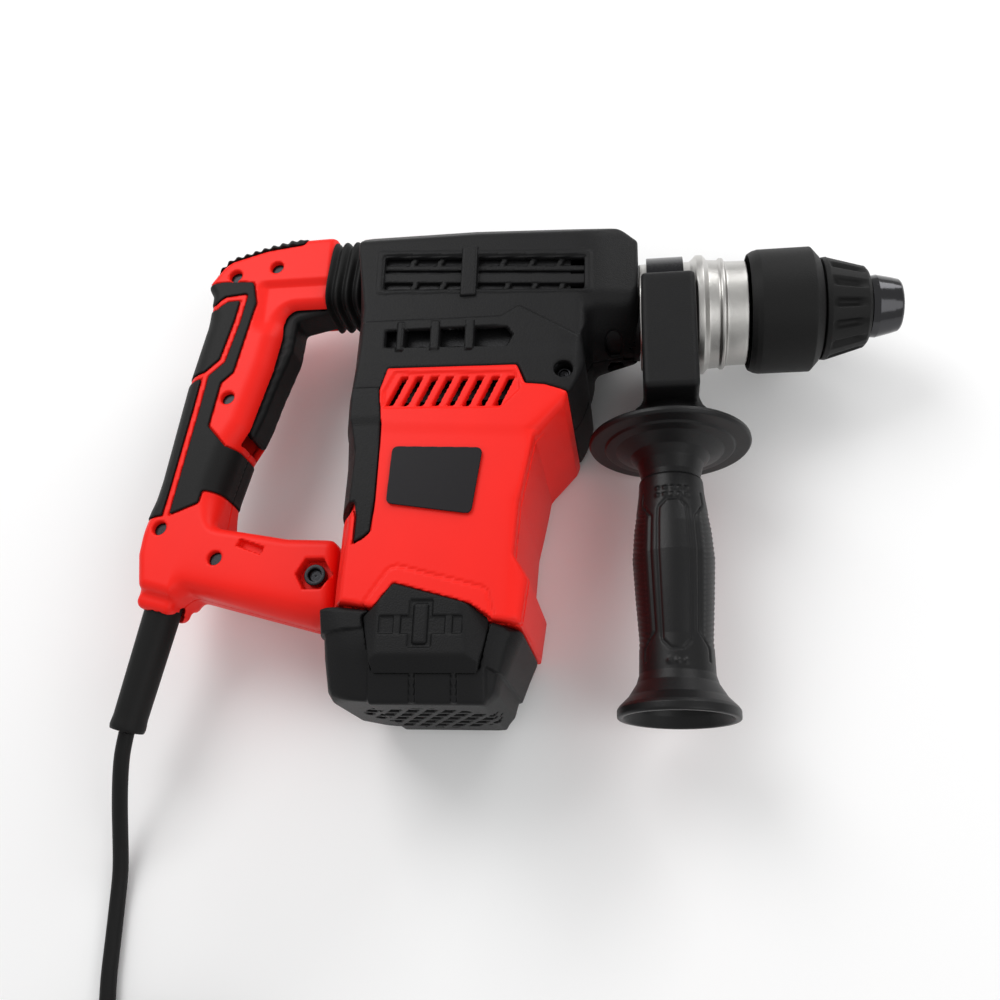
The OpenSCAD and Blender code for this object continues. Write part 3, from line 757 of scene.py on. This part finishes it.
TRIGGER = polygon([(-177, 14), (-196, 14), (-203, 8), (-209, -30), (-216, -62), (-211, -66), (-207, -54),
                   (-203, -38), (-196, -14), (-195, 4), (-176.5, 8.5)], 2.5)


def trigger_blade(x, y, z):
    grooves = 0.5 + 0.5 * np.cos(2 * math.pi * (y * 0.97 - x * 0.2) / 6.5)
    half = 9.5 - 0.35 * grooves * ramp(y + 6, 4) * ramp(-52 - y, 4)
    d = slab(TRIGGER(x, y), z, half, 3.0)
    return without(d, np.hypot(x + 181, y - 11) - 1.6)


def screw_head(name, place, radius, tall, side=1):
    """A round head with a socket, facing the right side, or the left one where side is -1."""
    profile = [(-tall / 2, 0.1), (-tall / 2, 0.55 * radius), (-tall, 0.62 * radius), (-tall, radius),
               (0, radius), (0, 0.1)]
    mesh = turned(name, rounded(profile, 0.4), "X", (NOSE, 0, 0), 48, None, 0.5)
    mesh.transform(Matrix.Rotation(math.radians(90 * side), 4, "Y"))
    mesh.transform(Matrix.Translation(Vector(to_row(place))))
    return mesh


def add_rear_handle():
    add_pair("handle_shell", handle_shell, (-263, -170, 0), (-155, 56, 21), 0.95, red_plastic(),
             "rear_handle", "red_plastic", ["handle_right"], ["handle_left"])
    add_pair("grip_skin", grip_skin, (-262, -116, 0), (-198, 28, 20), 0.7, rubber(),
             "rear_handle", "black_rubber", ["grip_pad_right"], ["grip_pad_left"])
    add_pair("arm_ridges", top_ridges, (-252, 18, 0), (-188, 57, 20), 0.7, rubber(),
             "rear_handle", "black_rubber", [], [])
    mesh = surface("trigger_blade", trigger_blade, (-218, -68, -10), (-174, 16, 10), 0.9)
    piece("trigger_blade", mesh, black_plastic(), "trigger", "black_plastic", "trigger")
    for side, word, stands in ((1, "right", ["pivot_bolt"]), (-1, "left", [])):
        name = "pivot_screw_" + word
        mesh = screw_head(name, (*PIVOT, side * 11.2), 5.2, 4.2, side)
        piece(name, mesh, blued_steel(), "rear_handle", "steel", *stands)


def add_bellows():
    """Folded rubber sleeve between the housing and the handle's top arm."""
    stations = np.linspace(-176.5, -156.5, 61)
    around = 96
    points = []
    for x in stations:
        t = (x + 176.5) / 20
        fold = 2.3 * (0.5 + 0.5 * math.cos(2 * math.pi * 3.5 * t)) ** 0.8
        wide, tall = 17.2 + fold, 19.2 + fold
        for a in np.linspace(0, 2 * math.pi, around, endpoint=False):
            c, s = math.cos(a), math.sin(a)
            power = (abs(c) ** 4 + abs(s) ** 4) ** -0.25
            points.append((x + 1.6 * s * power, 29 + tall * s * power, wide * c * power))
    rings = [points[i * around:(i + 1) * around] for i in range(len(stations))]
    for ring in rings[::-1]:
        points.extend((x, 29 + (y - 29) * 0.86, z * 0.86) for x, y, z in ring)
    faces = []
    for i in range(2 * len(rings)):
        following = (i + 1) % (2 * len(rings))
        for k in range(around):
            beside = (k + 1) % around
            faces.append((i * around + k, i * around + beside, following * around + beside,
                          following * around + k))
    mesh = mesh_from("bellows_sleeve", points, faces)
    made = bpy.data.objects.new("bellows_sleeve", mesh)
    bpy.context.scene.collection.objects.link(made)
    mesh.materials.append(rubber())
    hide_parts("bellows")
    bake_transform(made)


# -------- gear cover

COVER = polygon([
    (-158, 40), (-154, 44), (-95, 44), (-92.5, 42.5), (-91, 42.2), (-44, 38), (-23, 34), (-13, 27),
    (-13, -22), (-37, -25), (-40, -30), (-37, -46), (-44, -60), (-46, -63), (-57, -59.3), (-66, -58.3),
    (-70, -48.3), (-134, -47.3), (-138.7, -58), (-158, -58),
], 1.2)
LOBE = polygon([(-175, -19), (-79, -19.5), (-70.5, -14), (-41, -32.5), (-30, -46), (-40, -80),
                (-175, -80)], 1.5)
VENT = polygon([(-140, 20), (-39, 13), (-39, -5), (-139.5, 1)], 1.0)
VENT_EDGE = polygon([(-144, 23.5), (-35.5, 16.5), (-35, -7.5), (-143, -2)], 2)
STRIP = polygon([(-136, -25), (-76, -26), (-72.5, -31), (-75.5, -37), (-136, -35)], 0.8)
STRIP_WINDOWS = [(-135, -129.5), (-126, -113), (-108.5, -96), (-91.5, -79.5)]
STRIP_RIBS = [(-129.5, -126), (-113, -108.5), (-96, -91.5)]
TOP_DIVIDERS = (-125.5, -111.5, -79.5, -65, -51)
LOW_DIVIDERS = (-124.5, -110, -77.5, -64, -50.5)


def bowed(x, y, z):
    """X with the rear taken out, so that the rear corners bow forward towards the flanks."""
    depth = np.interp(y, [-150, -134, -92, -75, -62, -38, -10, 25, 40],
                      [12.0, 13.0, 14.0, 10.3, 9.8, 12.3, 13.0, 5.0, 4.0])
    weight = ramp(x + 136, 18)
    return x - depth * weight * (z / 44.5) ** 2


def cover_form(x, y, z):
    """The gear cover's outer form, before its windows."""
    raised = ramp(LOBE(x, y), 2.6)
    half = 38.0 + 3.0 * raised + 0.6 * raised * ramp(y + 40, 8)
    d = slab(COVER(bowed(x, y, z), y), z, half, 1.6)
    falling = 0.03 * np.maximum(0, x + 91)
    d = both(d, 0.753 * y + 0.659 * z - 48.0 + falling, 2.0)
    d = both(d, 0.338 * x + 0.941 * z - 23.9, 3.0)
    front = np.clip(-15 - x, -2, 22)
    under = -0.852 * y + 0.524 * z - (23.2 + 0.28 * front)
    d = without(d, both(-under, -38.0 - x, 5.0), 5.0)
    return both(d, 0.7 * (x + 43) + 0.7 * (z - 41) + np.maximum(0, y + 33) * -1.0, 1.0)


def hollowed(d, form, x, y, z):
    """The inside cut out, with round ways for the damper spring and the gearcase's snout."""
    cavity = form + 3.0
    room = box(x, y, z, (-154.5, -70, -5), (-46, 26, 38.0))
    d = without(d, both(cavity, room))
    d = without(d, both(cavity, -(x + 154.5)))
    d = without(d, both(np.hypot(y - 26, z) - 11.4, x + 150))
    return without(d, np.hypot(y, z) - 22.1 + np.maximum(0, -49 - x))


def cover_shell(x, y, z):
    form = cover_form(x, y, z)
    d = form - 0.5 * ramp(VENT_EDGE(x, y), 1.6) + 0.9 * ramp(VENT(x, y) - 1.0, 1.0)
    t = 20 - 0.07 * (x + 140) - y
    d = without(d, both(VENT(x, y), 28 - z), 0.4)
    d = hollowed(d, form, x, y, z)
    bar_one = box(x, t, z, (-142, 3.2, 31.5), (-37, 6.4, 35.6), 0.6)
    bar_two = box(x, t, z, (-142, 8.6, 31.5), (-37, 14.2, 36.4), 0.6)
    d = either(d, either(bar_one, bar_two))
    for places, low, high in ((TOP_DIVIDERS, -1.0, 4.0), (LOW_DIVIDERS, 13.5, 19.5)):
        for at in places:
            slant = x - at + 0.45 * (t - (low + high) / 2)
            d = either(d, box(slant, t, z, (-1.5, low, 31.5), (1.5, high, 36.0), 0.4))
    d = either(d, box(x, y, z, (-100, -6.5, 30), (-92, 22.5, 39.6), 0.9), 0.3)
    slant = y + 0.02 * (x + 136)
    strip = STRIP(x, y)
    for low, high in STRIP_RIBS:
        strip = without(strip, np.abs(x - (low + high) / 2) - (high - low) / 2)
    d = d + 1.3 * ramp(strip, 0.8) * (z > 20)
    for low, high in STRIP_WINDOWS:
        d = without(d, box(x, slant, z, (low, -34, 28), (high, -26.5, 60), 0.3), 0.4)
    for low, high in STRIP_RIBS:
        rib = box(x, slant, z, (low, -37.5, 30), (high, -21, 42.0), 0.7)
        d = either(d, rib, 0.3)
    tower = both(np.hypot(x + 48.5, y + 51) - 6.4, np.abs(z - 35) - 3.5)
    d = without(either(d, both(tower, form + 1)), hole(x, y, z, (-48.5, -51), 4.4, 33.4), 0.7)
    well = np.maximum(np.hypot((x + 26) / 4.2, (y + 0.6 * z + 14.5) / 7.6) - 1, -9) * 4.2
    d = without(d, both(well, 3.0 - z), 0.8)
    return both(d, 0.12 - z, 0.5)


def selector_dial(x, y, z):
    u, v = x + 62, y - 14
    disc = slab(np.hypot(u, v) - 15, z + 43.5, 1.2, 0.6)
    grip = box(u * 0.8 + v * 0.6, -u * 0.6 + v * 0.8, z, (-13.5, -3.0, -44.8), (13.5, 3.0, -43), 0.7)
    return either(either(disc, grip, 0.4), both(np.hypot(u, v) - 6, np.abs(z + 40) - 3))


# -------- motor housing, cap and covers

MOTOR = polygon([
    (-154, -58.8), (-139, -58.8), (-134, -47.8), (-70, -48.8), (-66, -58.8), (-57, -59.8), (-46, -63.8),
    (-48, -70), (-61, -86), (-67, -118), (-68.5, -142), (-62.5, -152), (-65, -172.5), (-156.5, -163),
    (-156.5, -122), (-154, -118),
], 1.6)
BRUSH = polygon([(-121, -155), (-87.5, -164.3), (-78, -170.5), (-84, -195), (-128, -195.5), (-134.5, -169),
                 (-128, -164)], 1.2)
BRUSH_SEAT = 38.5
CREASE = chain([(-136, -168), (-134, -164), (-124, -148.5), (-120, -147), (-82, -157), (-79.5, -159),
                (-77, -169)])
SLOT_FIELD = polygon([(-128, -50.5), (-70, -53), (-68, -62), (-77, -71.5), (-132.5, -69.5),
                      (-133, -61)], 1.5)
BUMPER = polygon([(-158, -58.5), (-139.4, -58.5), (-138.6, -64), (-135.6, -77), (-135.6, -115),
                  (-137.5, -131), (-143, -133.5), (-152, -136.5), (-152, -124), (-154.2, -117),
                  (-158, -117)], 0.6)
CAP = polygon([
    (-156.5, -163.3), (-133, -165.7), (-65, -172.9), (-69.5, -184), (-73, -194), (-74.5, -201),
    (-79, -205.5), (-134, -205.5), (-150, -204.5), (-153.5, -200), (-155.5, -186),
], 2)
PLATE = polygon([(-126, -90), (-84, -92), (-88, -124), (-127, -118)], 3.0)


def plan_edge(x, y, z):
    """The housing's width in plan, which narrows to the front."""
    edge_x = np.interp(y, [-170, -118, -97, -83, -66], [-72, -71, -61, -66, -49])
    return z - 45 + 0.50 * above(x - edge_x - 1.0, 2.0)


def motor_form(x, y, z):
    d = slab(MOTOR(bowed(x, y, z), y), z, 45.0, 2.2)
    return both(d, plan_edge(x, y, np.abs(z)), 3.0)


def motor_shell(x, y, z):
    """The red motor housing, with its slanted slots and the seats of strip and brush covers."""
    a = np.abs(z)
    form = motor_form(x, y, z)
    d = form + 0.8 * ramp(SLOT_FIELD(x, y), 1.4) * (a > 30)
    d = d + 0.6 * ramp(CREASE(x, y) - 0.5, 1.6) * (a > 34)
    shelf = ramp(0.7 * (y + 81.5) + 0.04 * (x + 100), 5.0) * 0.7
    d = d + shelf * (a > 36) * 0.6
    for n in range(8):
        u = x + 126.3 - 7.25 * n - 0.44 * (y + 60 + 0.35 * n)
        slot = box(u, y + 60.5 + 0.3 * n, a, (-1.85, -7.6, 34), (1.85, 7.6, 60), 0.3)
        d = without(d, slot, 0.5)
    d = without(d, both(BRUSH(x, y) - 0.4, BRUSH_SEAT - a), 0.4)
    strip = BUMPER(bowed(x, y, z), y) - 0.35
    d = without(d, both(strip, 40.6 - a))
    d = without(d, both(strip, bowed(x, y, z) + 153.6))
    lug = either(both(np.hypot(x - PIVOT[0], y - PIVOT[1]) - 8, a - 7),
                 box(x, y, z, (-167, -151, -7), (-154, -135, 7)))
    d = either(d, lug)
    d = without(d, both(np.hypot(x + 114, z) - 38.5, y + 62))
    d = without(d, both(box(x, y, z, (-151, -66, -39), (-50, -40, 39)), form + 3))
    return without(d, np.hypot(x - PIVOT[0], y - PIVOT[1]) - PIVOT_HOLE_R)


def cap_shell(x, y, z):
    """The black end cap, with stepped corners, two fins and the air grille."""
    a = np.abs(z)
    d = slab(CAP(x, y), z, 42.0, 2.4)
    d = both(d, 0.27 * (-180 - y) + 0.96 * (a - 42), 2.0)
    spread = 0.25 * (y + 205)
    d = both(d, 0.707 * (-x + a) - 129 - spread, 8.0)
    d = both(d, 0.707 * (x + a) + 28.5 - spread, 8.0)
    left = ramp(y + 175.5 - 0.1 * (x + 150), 1.0) * ramp(x + 131, 2.0)
    right = ramp(y + 190.5 + 0.35 * (x + 80), 1.0) * ramp(-x - 80, 2.0)
    d = d + 1.4 * np.maximum(left, right)
    d = without(d, both(BRUSH(x, y) - 0.4, BRUSH_SEAT - a), 0.4)
    for at in (-111.5, -93.5):
        fin = box(x, y, a, (at - 1.2, -205.0, 26), (at + 1.2, -187, 41), 0.4)
        d = either(d, both(fin, 0.27 * (-180 - y) + 0.96 * (a - 42) - 0.9), 0.3)
    d = without(d, both(np.hypot(x + 113, z) - 36 + 0.25 * np.maximum(0, -180 - y), np.abs(y + 176) - 25))
    grille = np.hypot((x + 110) / 1.25, z) - 25
    bars = np.abs((x - z * 0.5 + 400) % 8.0 - 4.0) - 2.3
    holes = np.abs((z + 400) % 9.0 - 4.5) - 3.0
    return without(d, both(both(grille, both(bars, holes)), y + 198.0), 0.3)


def brush_cover(x, y, z):
    d = both(BRUSH(x, y), 38.7 - z)
    bottom = 0.62 * (-186.5 - y) + 0.78 * (z - 44.7)
    right = 0.46 * (x + 89) + 0.08 * (y + 175) + 0.88 * (z - 44.7)
    left = -0.46 * (x + 126.5) + 0.88 * (z - 44.7)
    d = both(both(d, z - 44.7, 1.0), bottom, 0.8)
    d = both(both(d, right, 0.8), left, 0.8)
    sunk = box(x, y, z, (-126, -177.5, 43.7), (-89.5, -169.5, 60), 0.8)
    d = without(d, sunk, 0.4)
    for at in (-118, -95.5):
        rib = box(x, y, z, (at - 1.6, -179, 40), (at + 1.6, -168, 44.5), 0.5)
        d = either(d, rib, 0.2)
    groove = box(x, y, z, (-113, -183.5, 43.9), (-102.5, -162.5, 60), 1.0)
    d = without(d, groove, 0.3)
    return either(d, box(x, y, z, (-111, -182, 40), (-104.5, -164, 45.0), 1.4))


def rear_bumper(x, y, z):
    a = np.abs(z)
    xb = bowed(x, y, z)
    d = both(BUMPER(xb, y), a - 44.5, 0.8)
    d = d + 0.7 * ramp(y + 76, 6.0)
    hollow = box(xb, y, a, (-153.9, -145, -50), (-130, -40, 40.9))
    return without(d, hollow)


def yoke_block(x, y, z):
    """The block that straddles the collar and carries the side handle."""
    a = np.abs(z)
    bow = 0.0016 * (y + 25) ** 2
    d = box(x, y, z, (-12.3, -60, -37), (14, 4, 37), 3.0)
    d = both(d, -x - 12.3 + bow * 0.4, 1.0)
    d = both(d, 0.6 * (y - 2) + 0.8 * (a - 36.5), 2.0)
    neck = both(np.hypot(x - 0.8, z) - 20, np.abs(y + 64) - 6)
    d = either(d, neck, 4.0)
    d = without(d, both(np.hypot(y, z) - 27.4, -y - 60), 0.3)
    d = without(d, box(x, y, z, (-30, -5, -27.4), (30, 60, 27.4)), 0.3)
    d = without(d, both(np.hypot(y, z) - 30.1, np.abs(x) - 9.2))
    d = without(d, box(x, y, z, (-9.2, -5, -30.1), (9.2, 60, 30.1)))
    return without(d, both(np.hypot(x, z) - 4.2, y))


def blank_plate(x, y, z):
    return both(PLATE(x, y), np.abs(z - 45.0) - 0.35, 0.15)


def add_housing():
    add_pair("cover_shell", cover_shell, (-159, -64, 0), (-12, 45, 43), 1.0, black_plastic(),
             "housing", "black_plastic", ["gear_cover_right"], ["gear_cover_left"])
    mesh = screw_head("cover_screw", (-48.5, -51, 33.5), 3.7, 2.4)
    piece("cover_screw", mesh, blued_steel(), "housing", "steel", "housing_screws")
    mesh = surface("selector_dial", selector_dial, (-78, -2, -45), (-46, 30, -36), 0.8)
    piece("selector_dial", mesh, smooth_black(), "selector", "black_plastic", "selector_knob")
    mesh = surface("motor_shell", motor_shell, (-177, -174, -46), (-45, -46, 46), 1.1)
    piece("motor_shell", mesh, red_plastic(), "housing", "red_plastic", "motor_housing")
    mesh = surface("cap_shell", cap_shell, (-158, -206, -43), (-62, -162, 43), 1.0)
    piece("cap_shell", mesh, black_plastic(), "housing", "black_plastic", "motor_cap")
    add_pair("brush_lid", brush_cover, (-135, -197, 38), (-77, -154, 46), 0.7, black_plastic(),
             "housing", "black_plastic", ["brush_cover_right"], ["brush_cover_left"])
    mesh = surface("bumper_strip", rear_bumper, (-159, -138, -45), (-134, -57, 45), 0.9)
    piece("bumper_strip", mesh, black_plastic(), "housing", "black_rubber", "rear_bumper")
    mesh = surface("yoke_block", yoke_block, (-20, -71, -38), (21, 5, 38), 0.9)
    piece("yoke_block", mesh, black_plastic(), "yoke", "black_plastic", "handle_yoke")

    mesh = surface("blank_plate", blank_plate, (-128, -126, 44.5), (-83, -89, 45.5), 0.35)
    piece("blank_plate", mesh, plate_ink(), "housing", "plate", "rating_plate")


# -------- nose and side handle

def cone_flutes(along, radius, angle):
    reach = np.clip((along - 79) / 3, 0, 1) * np.clip((97 - along) / 6, 0, 1)
    wave = np.maximum(0, np.cos(14 * angle)) ** 0.7
    return -2.6 * reach * wave * (radius > 17)


def grip_relief(along, radius, angle):
    """Engraved panels front and back, fine ribs at the sides and rows of round bumps."""
    turn = np.abs((angle + math.pi / 2) % math.pi - math.pi / 2)
    arc = 17.0 * turn
    mid, half_long = 142.0, 35.0
    off = np.abs(along - mid)
    half_wide, cut = 6.8, 4.0
    side = np.abs(arc - half_wide)
    end = np.abs(off - half_long)
    corner = np.abs(arc + off - (half_wide + half_long - cut)) * 0.707
    within = arc + off < half_wide + half_long - cut
    line = np.minimum(np.where(within, side, 9), np.where(within & (arc < half_wide), end, 9))
    on_corner = (arc > half_wide - cut) & (arc < half_wide) & (off < half_long)
    line = np.minimum(line, np.where(on_corner, corner, 9))
    outer = np.abs(arc - 10.4 - 0.9 * np.clip(off - 27, 0, 7)) + 9 * (off > 40)
    line = np.minimum(line, outer)
    depth = np.exp(-(line / 0.6) ** 2)
    ribs = 0.5 + 0.5 * np.cos(2 * math.pi * (along + 0.35 * arc) / 2.4)
    beside = np.clip((arc - 13) / 1.5, 0, 1) * np.clip((33 - off) / 2, 0, 1)
    bumps = np.zeros_like(depth)
    for y, count in ((101.5, 2), (105.0, 2), (182.5, 1)):
        for n in range(-count, count + 1):
            bumps += np.exp(-(((17 * ((angle + math.pi / 2) % math.pi - math.pi / 2)) - 3.6 * n) ** 2
                              + (along - y) ** 2) / 1.1)
    return (-0.7 * depth - 0.4 * ribs * beside + 0.8 * bumps) * (radius > 14.2)


def add_nose():
    collar = [(-12.9, 21.05), (-12.9, 27), (12.5, 27), (14.5, 28.8), (15.5, 30), (18.5, 30), (21, 27.4),
              (26, 27.0), (27.0, 28), (28.6, 28), (29.6, 26.2), (40, 26), (40, 21.05)]
    mesh = turned("collar", rounded(collar, 0.8), "X", (0, 0, 0), 144)
    piece("collar", mesh, satin_alloy(), "housing", "cast_alloy", "barrel_collar")
    sleeve = [(41, 28.3), (41, 29), (43.5, 30.4), (46, 31), (71, 31), (75, 26.5), (76, 24), (76, 14.2),
              (68, 14.2), (66, 28.3)]
    mesh = turned("lock_shell", rounded(sleeve, 0.9), "X", (0, 0, 0), 144)
    piece("lock_shell", mesh, rubber(), "lock_sleeve", "black_rubber", "locking_sleeve")
    cone = [(76.5, 14.05), (76.5, 25.3), (79, 25.5), (97, 20.2), (98.5, 18.5), (99, 17), (99, 14.05)]
    mesh = turned("nose_cone", rounded(cone, 0.7), "X", (0, 0, 0), 224, cone_flutes, 1.0)
    piece("nose_cone", mesh, rubber(), "spindle", "black_rubber", "guide_cone")
    ring = [(99.5, 10.55), (99.5, 15.0), (103, 15.5), (110, 13.9), (113.6, 12.9), (114.6, 12),
            (114.6, 10.55)]
    mesh = turned("nose_tip", rounded(ring, 0.6), "X", (0, 0, 0), 96)
    piece("nose_tip", mesh, dark_chrome(), "spindle", "dark_chrome", "nose_ring")


def add_side_grip():
    core = [(70.4, 0.1), (70.4, 37.4), (71.4, 38.8), (73.2, 39), (74.3, 38.2), (74.6, 31.4), (75.6, 30.6),
            (76.4, 26), (80, 19), (84, 15.8), (90, 14.2), (95.8, 13.6), (96, 11), (190, 11), (190, 0.1)]
    mesh = turned("guard_flange", rounded(core, 0.8), "Y", (0, 0, 0), 144)
    piece("guard_flange", mesh, smooth_black(), "side_grip", "black_plastic", "side_grip_core")
    grip = [(96, 11.05), (92.5, 14.6), (94, 15.1), (100, 15.5), (110, 16.8), (118, 18), (132, 19),
            (150, 18), (170, 16.6), (186, 17), (190, 18.2), (196, 22), (200, 26), (201.5, 27),
            (205.2, 27), (205.2, 24.5), (200, 21.5), (192, 19), (190, 11.05)]
    mesh = turned("grip_sleeve", rounded(grip, 1.0, 4), "Y", (0, 0, 0), 192, grip_relief, 0.52)
    piece("grip_sleeve", mesh, smooth_black(), "side_grip", "black_plastic", "side_grip_sleeve")


def finish_cad_nodes():
    """Better materials for the CAD nodes that still show, by their names."""
    looks = {
        # The gearcase's near-black casting colour is painted shade for the dark vent windows.
        "gearcase": casting_with_painted_shade(), "spindle_bearings": bright_steel(), "spindle_seal": rubber(),
        "stator": casting_with_painted_shade(), "field_coils": copper(), "brush_holders": copper(),
        "carbon_brushes": carbon(), "brush_springs": bright_steel(),
        "shaft_bearings": bright_steel(), "switch_body": smooth_black(), "handle_screws": blued_steel(),
        "cable_clamp": smooth_black(), "damper_spring": bright_steel(), "plug_pins": bright_steel(),
        "clamp_band": blued_steel(), "tee_bolt": bright_steel(), "spindle_tube": dark_chrome(),
        "bevel_wheel": bright_steel(), "locking_balls": bright_steel(), "sleeve_spring": bright_steel(),
        "piston": bright_steel(), "wrist_pin": bright_steel(), "con_rod": casting_with_painted_shade(),
        "striker": bright_steel(), "impact_bolt": bright_steel(), "armature_shaft": bright_steel(),
        "armature_core": casting_with_painted_shade(), "commutator": copper(), "fan": smooth_black(),
        "crank_gear": bright_steel(), "drive_gear": bright_steel(),
    }
    for name, look in looks.items():
        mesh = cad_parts[name].data
        mesh.materials.clear()
        mesh.materials.append(look)


add_rear_handle()
add_bellows()
add_housing()
add_nose()
add_side_grip()
finish_cad_nodes()
